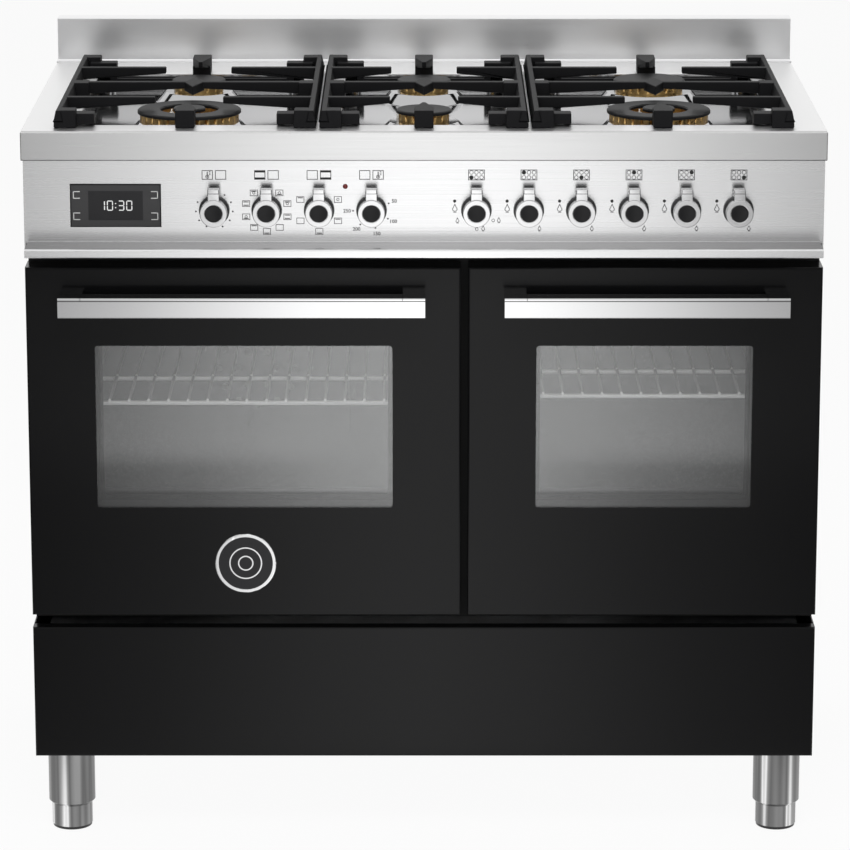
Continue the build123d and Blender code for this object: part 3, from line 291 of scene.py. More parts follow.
# %% Black finishes
enamel = Finish("black_enamel", base_color=(0.0028, 0.0028, 0.003), roughness=0.16, specular_ior_level=0.15)
liner_enamel = Finish("liner_enamel", base_color=(0.014, 0.014, 0.0145), roughness=0.4,
                      specular_ior_level=0.3)
side_enamel = Finish("side_enamel", base_color=(0.012, 0.012, 0.013), roughness=0.38, specular_ior_level=0.4)
cap_enamel = Finish("cap_enamel", base_color=(0.009, 0.009, 0.0095), roughness=0.45, specular_ior_level=0.14)
gloss_black = Finish("gloss_black", base_color=(0.006, 0.006, 0.0065), roughness=0.3, specular_ior_level=0.2)
soft_black = Finish("soft_black", base_color=(0.008, 0.008, 0.008), roughness=0.6, specular_ior_level=0.2)
print("black finishes:", [finish.material.name for finish in (enamel, liner_enamel, side_enamel, cap_enamel,
                                                              gloss_black, soft_black)])

# %% [markdown]
# ## Chrome
# Chrome is a mirror over steel. Its joints are finer than a mesh needs to be, so they are drawn as
# dark lines in the finish: across a knob's lever, along a door handle and near its ends.

# %% Plated finishes
plating, dark_joint = (0.64, 0.64, 0.645), (0.06, 0.06, 0.06)


def plated_knob():
    """Bright face and lever with a fine joint line, and a skirt behind them whose dark colour is painted
    shade.
    """
    skirt_front, lever_joint, joint_half = -284 * MM, 847 * MM, 0.4 * MM
    finish = Finish("knob_chrome", metallic=1.0, roughness=0.16)
    skirt = finish.axis("Y") > skirt_front
    joint = finish.axis("Z").distance(lever_joint) < joint_half
    face = finish.blend(joint, plating, (0.3, 0.3, 0.3))
    # The skirt's dark colour is painted shade behind the knob's face.
    finish.set("Base Color", finish.blend(skirt, face, (0.09, 0.09, 0.092)))
    return finish


def plated_handle():
    """Chrome with the thin dark joint lines of the bar's cap and of its two end pieces."""
    cap_joint, cap_foot, end_joints = 718.4 * MM, 719 * MM, (-425.5, -26.5, 128.0, 425.5)
    finish = Finish("handle_chrome", metallic=1.0, roughness=0.08)
    x, z = finish.axis("X"), finish.axis("Z")
    line = z.distance(cap_joint) < 0.55 * MM
    for joint in end_joints:
        line = line + (x.distance(joint * MM) < 0.35 * MM) * (z > cap_foot)
    finish.set("Base Color", finish.blend(line, plating, dark_joint))
    return finish


def rack_wire():
    """Painted highlight on the front and middle cross wires, where they face the lamps, and painted shade
    along the inward wires.
    """
    front_wire, middle_wire = -195 * MM, -58 * MM
    finish = Finish("wire_chrome", metallic=0.15, roughness=0.3)
    y = finish.axis("Y")
    painted_highlight_wires = (y.distance(front_wire) < 3.6 * MM) + (y.distance(middle_wire) < 3.2 * MM)
    # Painted highlight on the cross wires and painted shade on the other wires, in one chrome.
    finish.set("Base Color", finish.blend(painted_highlight_wires, (0.34, 0.34, 0.34), (1.0, 1.0, 1.0)))
    return finish


def ringed_badge():
    """A bright rim and two thin rings on a dark field."""
    centre, field_radius = (-226 * MM, 0, 368 * MM), 34.4 * MM
    ring_radii, ring_half = (20 * MM, 9 * MM), 0.8 * MM
    finish = Finish("badge_chrome", roughness=0.14, specular_ior_level=0.2)
    radius = finish.node("ShaderNodeVectorMath", {"operation": "DISTANCE"},
                         {0: finish.place((1, 0, 1)), 1: centre}, output="Value")
    field = radius < field_radius
    for ring in ring_radii:
        field = field * (1 - (radius.distance(ring) < ring_half))
    finish.set("Base Color", finish.blend(field, (0.7, 0.7, 0.705), (0.012, 0.012, 0.013)))
    finish.set("Metallic", 1 - field)
    return finish


knob_chrome, handle_chrome, wire_chrome = plated_knob(), plated_handle(), rack_wire()
badge_chrome = ringed_badge()
print("plated finishes:", [finish.material.name for finish in (knob_chrome, handle_chrome, wire_chrome,
                                                               badge_chrome)])

# %% [markdown]
# ## Iron and brass
# The pan supports are enamelled castings and the burners are brass. Both need a fine grain, so that
# light breaks up on them: sand on the iron, a stain from the flames on the brass.


# %% Cast iron and brass
def cast_iron():
    """Black enamelled casting with a sandy skin."""
    finish = Finish("cast_iron", base_color=(0.006, 0.006, 0.0065), specular_ior_level=0.1)
    sand = finish.noise((900, 900, 900), detail=4.0)
    finish.set("Roughness", sand * 0.2 + 0.42)
    finish.bump(sand, 0.25, 0.15 * MM)
    return finish


def machined_brass():
    """Brass that the flames have stained."""
    finish = Finish("burner_brass", metallic=1.0)
    stain = finish.noise((60, 60, 200), detail=3.0)
    finish.set("Base Color", finish.blend(stain, (0.62, 0.36, 0.11), (0.86, 0.62, 0.28)))
    finish.set("Roughness", stain * 0.15 + 0.22)
    return finish


iron, brass = cast_iron(), machined_brass()
print("hob finishes:", iron.material.name, brass.material.name)

# %% [markdown]
# ## Inside and behind
# The ovens are lined with grey speckled enamel, and the hidden sheets are galvanised: zinc grows in
# crystals, which a Voronoi pattern draws well.


# %% Oven enamel, zinc and small parts
def speckled_enamel():
    """Dark grey enamel with pale specks."""
    finish = Finish("oven_enamel", roughness=0.35)
    specks = finish.noise((700, 700, 700), detail=1.0) > 0.64
    finish.set("Base Color", finish.blend(specks, (0.11, 0.11, 0.113), (0.28, 0.28, 0.28)))
    return finish


def galvanised():
    """Zinc whose crystals differ a little in tone and gloss."""
    finish = Finish("galvanised", metallic=1.0)
    crystals = finish.node("ShaderNodeTexVoronoi", None, {"Vector": finish.place((90, 90, 90)), "Scale": 1.0},
                           output="Color")
    tone = finish.node("ShaderNodeSeparateXYZ", None, {0: crystals})
    finish.set("Base Color", finish.blend(tone, (0.42, 0.43, 0.44), (0.54, 0.55, 0.56)))
    finish.set("Roughness", tone * 0.15 + 0.4)
    return finish


oven_enamel, zinc = speckled_enamel(), galvanised()
door_glass = Finish("coated_glass", base_color=(0.46, 0.465, 0.465), metallic=1.0, roughness=0.05, alpha=0.13)
lamp_glass = Finish("lamp_glass", base_color=(0.9, 0.9, 0.88), roughness=0.1, alpha=0.6)
element_metal = Finish("element_metal", base_color=(0.12, 0.11, 0.11), metallic=1.0, roughness=0.5)
red_lens = Finish("red_lens", base_color=(0.1, 0.004, 0.004), roughness=0.3, coat_weight=0.3)
ceramic = Finish("ceramic", base_color=(0.82, 0.8, 0.75), roughness=0.3)
gasket = Finish("gasket", base_color=(0.05, 0.05, 0.05), roughness=0.8)
alloy = Finish("alloy", base_color=(0.62, 0.62, 0.63), metallic=1.0, roughness=0.45)
ink = Finish("panel_ink", base_color=(0.012, 0.012, 0.012), roughness=0.6)
print("finishes so far:", len(bpy.data.materials))

# %% [markdown]
# ## A finish for every CAD node
# Each node takes the finish of the real piece. Where a node is replaced further down, its new
# piece takes the same finish.

# %% Finishes by node
finish_of = {
    "hob_top": hob_steel, "backguard": guard_steel, "control_panel": panel_steel,
    "door_left_panel": enamel, "door_right_panel": enamel, "storage_flap": enamel,
    "side_panel_left": side_enamel, "side_panel_right": side_enamel,
    "door_left_glass": door_glass, "door_right_glass": door_glass, "lamp_lenses": lamp_glass,
    "door_left_handle": handle_chrome, "door_right_handle": handle_chrome, "badge": badge_chrome,
    "front_frame": soft_black, "hinge_arms": soft_black,
    "door_left_liner": liner_enamel, "door_right_liner": liner_enamel,
    "rack_left": wire_chrome, "rack_right": wire_chrome, "rack_rails": wire_chrome,
    "oven_cavity_left": oven_enamel, "oven_cavity_right": oven_enamel,
    "grill_elements": element_metal, "fan_cover": oven_enamel, "fan_blade": zinc,
    "wok_burners": brass, "single_burners": brass, "burner_caps": cap_enamel,
    "pan_support_left": iron, "pan_support_centre": iron, "pan_support_right": iron,
    "spark_igniters": ceramic, "injector_cups": alloy, "door_seals": gasket,
    "clock": gloss_black, "indicator_lens": red_lens, "oven_switches": soft_black,
    "leg_tubes": leg_steel,
    **{name: leg_steel for name in nodes if name.startswith("foot_")},
    **{name: knob_chrome for name in nodes if "_knob_" in name},
}
for name, node in nodes.items():
    node.data.materials.clear()
    node.data.materials.append(finish_of.get(name, zinc).material)
print("nodes in zinc:", sorted(set(nodes) - set(finish_of)))

# %% [markdown]
# ## Handling objects
# Blender's operators act on what is selected, so each step starts by selecting one object and
# nothing else. A finished piece also needs its material, the body that it moves with, and the
# CAD nodes that it stands for.


# %% Helpers for objects
def only(piece):
    """Leave edit mode, then select one object and nothing else."""
    if bpy.context.mode != "OBJECT":
        bpy.ops.object.mode_set(mode="OBJECT")
    bpy.ops.object.select_all(action="DESELECT")
    piece.select_set(True)
    bpy.context.view_layer.objects.active = piece


def edit(piece, kind):
    """Set one object up for editing with the wanted kind of selection, and nothing selected."""
    only(piece)
    bpy.ops.object.mode_set(mode="EDIT")
    bpy.ops.mesh.select_mode(type=kind)
    bpy.ops.mesh.select_all(action="DESELECT")
    bpy.ops.object.mode_set(mode="OBJECT")


def apply_modifier(piece, kind, **settings):
    modifier = piece.modifiers.new(kind.title(), kind)
    for key, value in settings.items():
        setattr(modifier, key, value)
    only(piece)
    bpy.ops.object.modifier_apply(modifier=modifier.name)


def smooth(piece, degrees):
    """Shade curves smooth, and keep corners sharper than an angle."""
    only(piece)
    bpy.ops.object.shade_smooth_by_angle(angle=math.radians(degrees))


def dress(piece, finish, body, slot, *replaced):
    """Give a new piece its finish and its place in the mechanism; its slot is not used."""
    piece.data.materials.clear()
    piece.data.materials.append(finish.material)
    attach(piece, body)
    if replaced:
        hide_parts(*replaced)
    return piece


print("objects to dress:", len(nodes))

# %% [markdown]
# ## Rounding what the CAD leaves sharp
# No real edge is a knife edge: a thin bright line along each corner is what makes metal look like
# metal. A copy of a node is merged, its flat triangles dissolved, its edges bevelled, and its curves
# shaded smooth. The copy then stands for the node. The side rails of the cast pan supports also get
# the draft of a casting: their top edges are drawn together, because a slimmer top reads as cast.

# %% Softened copies
merge_distance = 0.005 * MM
flat_angle = math.radians(0.3)
corner_angle, wire_angle = 40.0, 62.0
rail_width, rail_taper = 12 * MM, 0.5


def slim_rails(piece):
    """Taper the two side rails of a cast pan support towards their tops."""
    points = [vertex.co for vertex in piece.data.vertices]
    top = max(point.z for point in points)
    for rail_edge, side in ((min(point.x for point in points), 1), (max(point.x for point in points), -1)):
        middle = rail_edge + side * rail_width / 2
        edit(piece, "VERT")
        for vertex in piece.data.vertices:
            on_rail = abs(vertex.co.x - middle) < rail_width / 2 + 0.1 * MM
            vertex.select = top - vertex.co.z < 0.2 * MM and on_rail
        bpy.ops.object.mode_set(mode="EDIT")
        bpy.ops.transform.resize(value=(rail_taper, 1, 1), center_override=(middle, 0, 0))
        bpy.ops.object.mode_set(mode="OBJECT")


def softened(name, radius=0.0, sharp=corner_angle, flat_sided=False):
    """A merged copy of a CAD node, its sharp edges rounded by a radius in millimetres.

    On a flat-sided piece the large faces decide how its corners are shaded, so that they stay flat."""
    only(nodes[name])
    bpy.ops.object.duplicate()
    piece = bpy.context.object
    piece.name = name + "_finished"
    del piece["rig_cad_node"]
    piece.parent = None
    bpy.ops.object.mode_set(mode="EDIT")
    bpy.ops.mesh.select_all(action="SELECT")
    bpy.ops.mesh.remove_doubles(threshold=merge_distance)
    if flat_sided:
        bpy.ops.mesh.dissolve_limited(angle_limit=flat_angle)
    bpy.ops.object.mode_set(mode="OBJECT")
    if name.startswith("pan_support"):
        slim_rails(piece)
    if radius:
        apply_modifier(piece, "BEVEL", width=radius * MM, segments=2, limit_method="ANGLE",
                       angle_limit=math.radians(sharp), use_clamp_overlap=False)
    smooth(piece, sharp)
    if flat_sided:
        apply_modifier(piece, "WEIGHTED_NORMAL", keep_sharp=True, weight=100)
    return dress(piece, finish_of.get(name, zinc), body_of[name], slot_of[name], name)


rounded = {"hob_top": 1.2, "pan_support_left": 1.2, "pan_support_centre": 1.2, "pan_support_right": 1.2,
           **{name: 0.8 for name in nodes if "_knob_" in name}}
flat_sided = ["door_left_panel", "door_right_panel", "storage_flap", "door_left_handle", "door_right_handle",
              "backguard", "badge", "fan_cover", "burner_caps", "wok_burners", "single_burners"]
wires = ["rack_left", "rack_right", "rack_rails"]
round_pieces = ["indicator_lens", "lamp_lenses", "grill_elements", "gas_manifold"]
copies = [softened(name, radius, flat_sided=True) for name, radius in rounded.items()]
copies += [softened(name, flat_sided=True) for name in flat_sided]
copies += [softened(name, sharp=wire_angle) for name in wires]
copies += [softened(name) for name in round_pieces]
print("softened copies:", len(copies))

# %% [markdown]
# ## Shaping by hand
# New pieces start as a primitive. Faces are picked by where they look, and then inset, pushed or
# bevelled. A finished piece has its place in its mesh, so that its pattern stays with it.


# %% Helpers for shaping
def pick_faces(piece, test):
    """Select the faces that pass a test, and go on editing."""
    edit(piece, "FACE")
    for face in piece.data.polygons:
        face.select = test(face)
    bpy.ops.object.mode_set(mode="EDIT")


def settle(piece):
    """Put an object's place, turn and size into its mesh."""
    only(piece)
    bpy.ops.object.transform_apply(location=True, rotation=True, scale=True)


def copy_of(piece, name, shift=(0, 0, 0), turn=(0, 0, 0)):
    """A copy with its own mesh, turned and then moved by a shift in metres."""
    only(piece)
    bpy.ops.object.duplicate()
    twin = bpy.context.object
    twin.name = name
    twin.rotation_euler = turn
    twin.location = shift
    settle(twin)
    return twin


def corners(name):
    """The lowest and highest corner of a CAD node."""
    points = [nodes[name].matrix_world @ vertex.co for vertex in nodes[name].data.vertices]
    return (Vector([min(p[i] for p in points) for i in range(3)]),
            Vector([max(p[i] for p in points) for i in range(3)]))


knob_names = sorted(name for name in nodes if "_knob_" in name)
knob_radius = 19.0 * MM
axis_of = {}
for name in knob_names:
    low, high = corners(name)
    axis_of[name] = Vector(((low.x + high.x) / 2, low.y, low.z + knob_radius))
print("knob axes at", [round(axis.x, 3) for axis in axis_of.values()])

# %% [markdown]
# ## Black inserts in the knobs
# Each chrome knob has a round black cap pressed into its face. One cap is modelled: a disc whose rim
# is bevelled and whose middle is inset and pushed back a little, so it catches a soft crescent of
# light. The other nine are copies, and each one turns with its own knob.

# %% Knob caps
cap_radius, cap_depth, cap_sunk = 10.8 * MM, 1.4 * MM, 0.8 * MM
bpy.ops.object.select_all(action="DESELECT")
bpy.ops.mesh.primitive_cylinder_add(vertices=48, radius=cap_radius, depth=cap_depth,
                                    location=(0, cap_sunk, 0), rotation=(math.pi / 2, 0, 0))
knob_cap = bpy.context.object
settle(knob_cap)
pick_faces(knob_cap, lambda face: face.normal.y < -0.9)
bpy.ops.mesh.bevel(offset=0.5 * MM, segments=3, affect="EDGES")
pick_faces(knob_cap, lambda face: face.normal.y < -0.999)
for ring in (1.2, 2.0):
    bpy.ops.mesh.inset(thickness=ring * MM)
bpy.ops.transform.translate(value=(0, 0.3 * MM, 0))
settle(knob_cap)
smooth(knob_cap, corner_angle)
for name in knob_names:
    dress(copy_of(knob_cap, name + "_cap", axis_of[name]), gloss_black, body_of[name], "dark_plastic")
bpy.data.objects.remove(knob_cap)
print("knob caps:", len(knob_names))

# %% [markdown]
# ## Symbols printed on the panel
# The panel carries small black symbols: which oven or burner a knob serves, what it does, and at
# what temperature. They are drawn flat, in millimetres, like a sheet of transfers: a frame is a plane
# that is inset and emptied, a ring is a disc treated the same way. Each symbol is drawn once and
# copied to its places, and the whole sheet is then given the thickness of ink and stood on the panel.


# %% Shapes for flat symbols
def flat(width, height):
    """A filled rectangle about the origin."""
    bpy.ops.object.select_all(action="DESELECT")
    bpy.ops.mesh.primitive_plane_add(size=1.0)
    piece = bpy.context.object
    piece.scale = (width * MM, height * MM, 1)
    settle(piece)
    return piece


def disc(radius, vertices=20):
    """A filled circle about the origin."""
    bpy.ops.object.select_all(action="DESELECT")
    bpy.ops.mesh.primitive_circle_add(vertices=vertices, radius=radius * MM, fill_type="NGON")
    return bpy.context.object


def outline(piece, line):
    """Keep only a line of the given width along a flat piece's edge."""
    pick_faces(piece, lambda face: True)
    bpy.ops.mesh.inset(thickness=line * MM)
    bpy.ops.mesh.delete(type="FACE")
    bpy.ops.object.mode_set(mode="OBJECT")
    return piece


def moved(piece, x, y):
    piece.location = (x * MM, y * MM, 0)
    settle(piece)
    return piece


def lettering(words, size, x, y):
    """Plain figures, turned into a mesh."""
    bpy.ops.object.select_all(action="DESELECT")
    bpy.ops.object.text_add()
    piece = bpy.context.object
    piece.data.body = words
    piece.data.size = size * MM
    piece.data.align_x = "CENTER"
    piece.data.align_y = "CENTER"
    piece.data.resolution_u = 3
    piece.data.offset = 0.12 * MM
    only(piece)
    bpy.ops.object.convert(target="MESH")
    return moved(bpy.context.object, x, y)


knob_place = {name: (axis.x / MM, axis.z / MM) for name, axis in axis_of.items()}
print("drawing places:", {name: tuple(round(v, 1) for v in place) for name, place in knob_place.items()})

# %% [markdown]
# A printer lays out a sheet by stamping one symbol in many places. These helpers do the same, and
# then make one mesh of the stamps and stand it up.


# %% Laying out a sheet
def joined(pieces, name):
    """One mesh from several."""
    bpy.ops.object.select_all(action="DESELECT")
    for piece in pieces:
        piece.select_set(True)
    bpy.context.view_layer.objects.active = pieces[0]
    if len(pieces) > 1:
        bpy.ops.object.join()
    pieces[0].name = name
    return pieces[0]


def stamped(symbol, places):
    """Copies of a symbol at places in millimetres; the symbol itself is used up."""
    stamps = [copy_of(symbol, symbol.name, (x * MM, y * MM, 0)) for x, y in places]
    bpy.data.objects.remove(symbol)
    return stamps


def beside(places, dx, dy):
    """Places moved by the same step."""
    return [(x + dx, y + dy) for x, y in places]


def around(centre, radius, degrees):
    """A place on a circle round a knob."""
    angle = math.radians(degrees)
    return centre[0] + radius * math.cos(angle), centre[1] + radius * math.sin(angle)


def upright(pieces, name, finish, y, thickness):
    """Join flat drawings and stand them up at a depth, with a thickness towards the viewer."""
    piece = joined(pieces, name)
    apply_modifier(piece, "SOLIDIFY", thickness=thickness * MM, offset=1.0)
    piece.rotation_euler = (math.pi / 2, 0, 0)
    piece.location = (0, y, 0)
    settle(piece)
    return dress(piece, finish, "carcass", "dark_plastic")


print("a quarter round the first knob:", [round(v, 1) for v in around(knob_place[knob_names[0]], 27.0, 90)])

# %% [markdown]
# Above an oven knob stand two oven boxes, one of them marked. Heavy bars mark the knobs that choose a
# function, and a small thermometer, put together from a ring, a disc and a stalk, marks a thermostat.

# %% Pictures above the oven knobs
sheet = []
picture_rise, pair_half = 44.5, 8.3
oven_pairs = {name: [(x + dx, y + picture_rise) for dx in (-pair_half, pair_half)]
              for name, (x, y) in knob_place.items() if name.startswith("oven")}
sheet += stamped(outline(flat(13.8, 11.8), 0.9), [place for pair in oven_pairs.values() for place in pair])
bar_rise, bulb_drop = 4.4, 2.2
for name, which in (("oven_knob_2", 0), ("oven_knob_3", 1)):
    x, y = oven_pairs[name][which]
    sheet += stamped(flat(13.4, 2.6), [(x, y + bar_rise), (x, y - bar_rise)])
for name, which in (("oven_knob_1", 0), ("oven_knob_4", 1)):
    x, y = oven_pairs[name][which]
    bulb, filling, stalk = outline(disc(2.4), 0.8), disc(1.0), flat(1.2, 5.2)
    sheet += [moved(bulb, x, y - bulb_drop), moved(filling, x, y - bulb_drop), moved(stalk, x, y + 1.6)]
    sheet += stamped(flat(2.2, 0.8), [(x + 3.0, y + dy) for dy in (0.4, 2.2, 4.0)])
print("stamps for the ovens:", len(sheet))

# %% [markdown]
# Above a burner knob stands a plan of the six burners, with its own burner filled. The rings and the
# filled discs are stamped from one list of cells, so that they can't drift apart.

# %% Pictures above the burner knobs
plan_pitch, ring_radius = 6.3, 2.7
plan_cells = [((column - 1) * plan_pitch, (0.5 - row) * plan_pitch)
              for row in range(2) for column in range(3)]
filled_cell = {"burner_knob_1": 3, "burner_knob_2": 0, "burner_knob_3": 4, "burner_knob_4": 1,
               "burner_knob_5": 2, "burner_knob_6": 5}
burner_places = [knob_place[name] for name in sorted(filled_cell)]
plans = beside(burner_places, 0, picture_rise)
sheet += stamped(outline(flat(20.6, 13.4), 0.85), plans)
empty_rings, filled_rings = [], []
for (x, y), filled in zip(plans, filled_cell.values()):
    for cell, (dx, dy) in enumerate(plan_cells):
        (filled_rings if cell == filled else empty_rings).append((x + dx, y + dy))
sheet += stamped(outline(disc(ring_radius), 0.7), empty_rings)
sheet += stamped(disc(ring_radius), filled_rings)
print("stamps with the burner plans:", len(sheet))

# %% [markdown]
# Round the oven knobs: dots and figures for degrees, and small boxes for the oven's functions. A box
# has a bar where an element glows, above or below, and a ring where the fan runs.

# %% Marks round the oven knobs
dot_radius, figure_radius, box_radius = 23.0, 30.5, 27.0
figures = (("50", 22), ("100", -28), ("150", -78), ("200", -128), ("250", -178))
dial_dots = [around(knob_place["oven_knob_1"], dot_radius, degrees)
             for degrees in (56, 26, -4, -34, -64, 244, 214, 184, 154)]
dial_dots += [around(knob_place["oven_knob_4"], dot_radius, degrees) for _, degrees in figures]
sheet += stamped(disc(1.1, 12), dial_dots)
sheet += [lettering(words, 6.4, *around(knob_place["oven_knob_4"], figure_radius, degrees))
          for words, degrees in figures]

functions = [around(knob_place["oven_knob_2"], box_radius, 90 + 36 * step) for step in range(1, 10)]
functions += [around(knob_place["oven_knob_3"], box_radius, 90 + 60 * step) for step in range(1, 6)]
sheet += stamped(outline(flat(9.8, 8.0), 0.75), functions)
glow_above = beside([functions[i] for i in (0, 1, 3, 6, 7, 9, 12)], 0, 2.1)
glow_below = beside([functions[i] for i in (1, 2, 4, 6, 8, 11)], 0, -2.1)
sheet += stamped(flat(6.4, 1.1), glow_above + glow_below)
sheet += stamped(outline(disc(1.9, 14), 0.7), [functions[i] for i in (0, 2, 7, 8, 13)])
print("oven functions:", len(functions))

# %% [markdown]
# Round the burner knobs: a dot for off, a large flame and a small one. The first knob feeds two rings
# of flame, so it has more marks than the others. A flame is a disc whose top point is pulled up.


# %% Marks round the burner knobs
def flame(width, line):
    """A drop-shaped outline with a small base line."""
    drop = disc(width / 2, 16)
    for vertex in drop.data.vertices:
        rise = max(0.0, vertex.co.y / (width / 2 * MM))
        vertex.co.x *= 1 - 0.55 * rise
        vertex.co.y *= 1 + 0.9 * rise ** 2
    outline(drop, line)
    return joined([drop, moved(flat(width * 0.6, line), 0, -width * 0.62)], "flame")


double_x, double_y = burner_places[0]
double_flames = [(double_x - 23.5, double_y - 13.5), (double_x + 8.5, double_y - 23.5),
                 (double_x + 28.0, double_y - 13.0)]
double_rings = [(double_x + 0.5, double_y - 24.0), (double_x + 21.0, double_y - 13.0)]
sheet += stamped(disc(2.0, 16), beside(burner_places, -27, 11.5))
sheet += stamped(flame(6.8, 0.8), beside(burner_places, -26.8, 1.6))
sheet += stamped(flame(4.6, 0.7), beside(burner_places[1:], 13.5, -23.5) + double_flames)
sheet += stamped(outline(disc(2.2, 16), 0.7), double_rings)

panel_face, ink_thickness = -266.0 * MM, 0.08
print_sheet = upright(sheet, "panel_print", ink, panel_face, ink_thickness)
print("panel print:", len(print_sheet.data.polygons), "faces")

# %% [markdown]
# ## The clock
# A dark glass with a darker screen in it, and pale corner marks for the touch keys. Each is a flat
# drawing with a small thickness, laid on the face of the one behind it, so that none flickers.

# %% Clock face
clock_low, clock_high = corners("clock")
clock_x, clock_z = (clock_low.x + clock_high.x) / 2 / MM, (clock_low.z + clock_high.z) / 2 / MM
clock_face = clock_low.y
glass_thickness, film = 0.1, 0.05
screen_face = clock_face - glass_thickness * MM
clock_glass = Finish("clock_glass", base_color=(0.03, 0.03, 0.031), roughness=0.4, specular_ior_level=0.25)
clock_screen = Finish("clock_screen", base_color=(0.013, 0.013, 0.014), roughness=0.45,
                      specular_ior_level=0.25)
clock_marks = Finish("clock_marks", base_color=(0.45, 0.45, 0.45), roughness=0.5)

upright([moved(flat(110.0, 51.5), clock_x, clock_z)], "clock_glass", clock_glass, clock_face, glass_thickness)
upright([moved(flat(68.0, 37.0), clock_x, clock_z)], "clock_screen", clock_screen, screen_face, film)
key_x, key_z, key_half = 48.5, 13.5, 4.2
brackets = []
for side in (-1, 1):
    for level in (-1, 1):
        x, y = clock_x + side * key_x, clock_z + level * key_z
        brackets += stamped(flat(8.5, 1.0), [(x, y + key_half), (x, y - key_half)])
        brackets.append(moved(flat(1.0, 9.4), x + side * 3.8, y))
print("clock marks:", len(brackets))
upright(brackets, "clock_marks", clock_marks, screen_face, film)

# %% [markdown]
# The figures are made of seven bars each, as on a real display: a bar is one small plane with its
# ends cut to points. Only the bars that are lit are stamped, and they glow a little.


# %% Clock figures
def bar(length, width):
    """One bar of a figure, its ends cut to points."""
    piece = flat(length, width)
    edit(piece, "VERT")
    for vertex in piece.data.vertices:
        vertex.select = True
    bpy.ops.object.mode_set(mode="EDIT")
    bpy.ops.mesh.bevel(offset=width * 0.45 * MM, segments=1, affect="VERTICES")
    bpy.ops.object.mode_set(mode="OBJECT")
    return piece


figure_width, figure_half, bar_width, bar_gap = 6.4, 5.8, 1.2, 0.4
level_bars = {"top": figure_half * 2, "middle": figure_half, "bottom": 0.0}
upright_bars = {"upper_left": (-1, 1.5), "upper_right": (1, 1.5),
                "lower_left": (-1, 0.5), "lower_right": (1, 0.5)}
lit = {"1": ("upper_right", "lower_right"),
       "0": ("top", "bottom", "upper_left", "upper_right", "lower_left", "lower_right"),
       "3": ("top", "middle", "bottom", "upper_right", "lower_right")}
level_places, upright_places = [], []
for figure, offset in zip("1030", (-17.0, -7.0, 7.0, 17.0)):
    foot_x, foot_z = clock_x + offset, clock_z - figure_half
    for name in lit[figure]:
        if name in level_bars:
            level_places.append((foot_x, foot_z + level_bars[name]))
        else:
            side, rise = upright_bars[name]
            upright_places.append((foot_x + side * figure_width / 2, foot_z + rise * figure_half))
upright_bar = bar(figure_half - bar_gap, bar_width)
upright_bar.rotation_euler = (0, 0, math.pi / 2)
settle(upright_bar)
time_shown = stamped(bar(figure_width - bar_gap, bar_width), level_places)
time_shown += stamped(upright_bar, upright_places)
time_shown += stamped(disc(0.8, 12), [(clock_x, clock_z + dy) for dy in (-2.6, 2.6)])
clock_light = Finish("clock_light", base_color=(0.5, 0.5, 0.5), roughness=0.5,
                     emission_color=(0.75, 0.77, 0.78), emission_strength=0.25)
upright(time_shown, "clock_figures", clock_light, screen_face - film * MM, film)
print("clock bars:", len(level_places) + len(upright_places))

# %% [markdown]
# ## Screws
# The back sheet and the sides are held by cross-head screws. One screw is modelled: a short cylinder
# with a domed rim, and a cross cut into its head by two small blocks. The rest are copies.


# %% Screws
def screw_head():
    """A pan-head screw whose seat is on the plane Z = 0 and whose head looks along +Z."""
    radius, height, sunk, slot_size = 4.0, 2.2, 0.2, Vector((4.4, 1.0, 1.6))
    bpy.ops.object.select_all(action="DESELECT")
    bpy.ops.mesh.primitive_cylinder_add(vertices=24, radius=radius * MM, depth=(height + sunk) * MM,
                                        location=(0, 0, (height - sunk) / 2 * MM))
    head = bpy.context.object
    settle(head)
    pick_faces(head, lambda face: face.normal.z > 0.9)
    bpy.ops.mesh.bevel(offset=1.2 * MM, segments=4, affect="EDGES")
    settle(head)
    for turn in (0, math.pi / 2):
        bpy.ops.object.select_all(action="DESELECT")
        bpy.ops.mesh.primitive_cube_add(size=1.0, location=(0, 0, height * MM))
        slot = bpy.context.object
        slot.scale = slot_size * MM
        slot.rotation_euler = (0, 0, turn)
        settle(slot)
        apply_modifier(head, "BOOLEAN", operation="DIFFERENCE", object=slot, solver="EXACT")
        bpy.data.objects.remove(slot)
    smooth(head, corner_angle)
    return head


def screwed(head, name, places, turn):
    """Copies of a screw head at places in millimetres, turned to look out of their surface."""
    heads = [copy_of(head, name, Vector(place) * MM, turn) for place in places]
    return dress(joined(heads, name), alloy, "carcass", "galvanised")


head = screw_head()
margin, rows = 14.0, 5
back_low, back_high = (corner / MM for corner in corners("back_panel"))
row_pitch = (back_high.z - back_low.z - 2 * margin) / (rows - 1)
edge_z = [back_low.z + margin + step * row_pitch for step in range(rows)]
edge_x = [back_low.x + margin, back_high.x - margin]
back_places = [(x, back_high.y, z) for x in edge_x for z in edge_z]
back_places += [(x, back_high.y, z) for x in (-250, 0, 250) for z in (edge_z[0], edge_z[-1])]
screwed(head, "back_screws", back_places, (-math.pi / 2, 0, 0))

frame_back = corners("front_frame")[1].y / MM
side_sunk, rear_margin, front_margin, top_margin = 0.6, 20, 18, 60
for name, side in (("side_panel_left", -1), ("side_panel_right", 1)):
    low, high = (corner / MM for corner in corners(name))
    x = (low.x if side < 0 else high.x) - side * side_sunk
    z_low, z_high = low.z + margin, high.z - top_margin
    places = [(x, y, z) for y in (high.y - rear_margin, frame_back + front_margin)
              for z in (z_low, (z_low + z_high) / 2, z_high)]
    screwed(head, name.replace("panel", "screws"), places, (0, side * math.pi / 2, 0))
bpy.data.objects.remove(head)
print("screws on the back:", len(back_places), "on each side:", len(places))

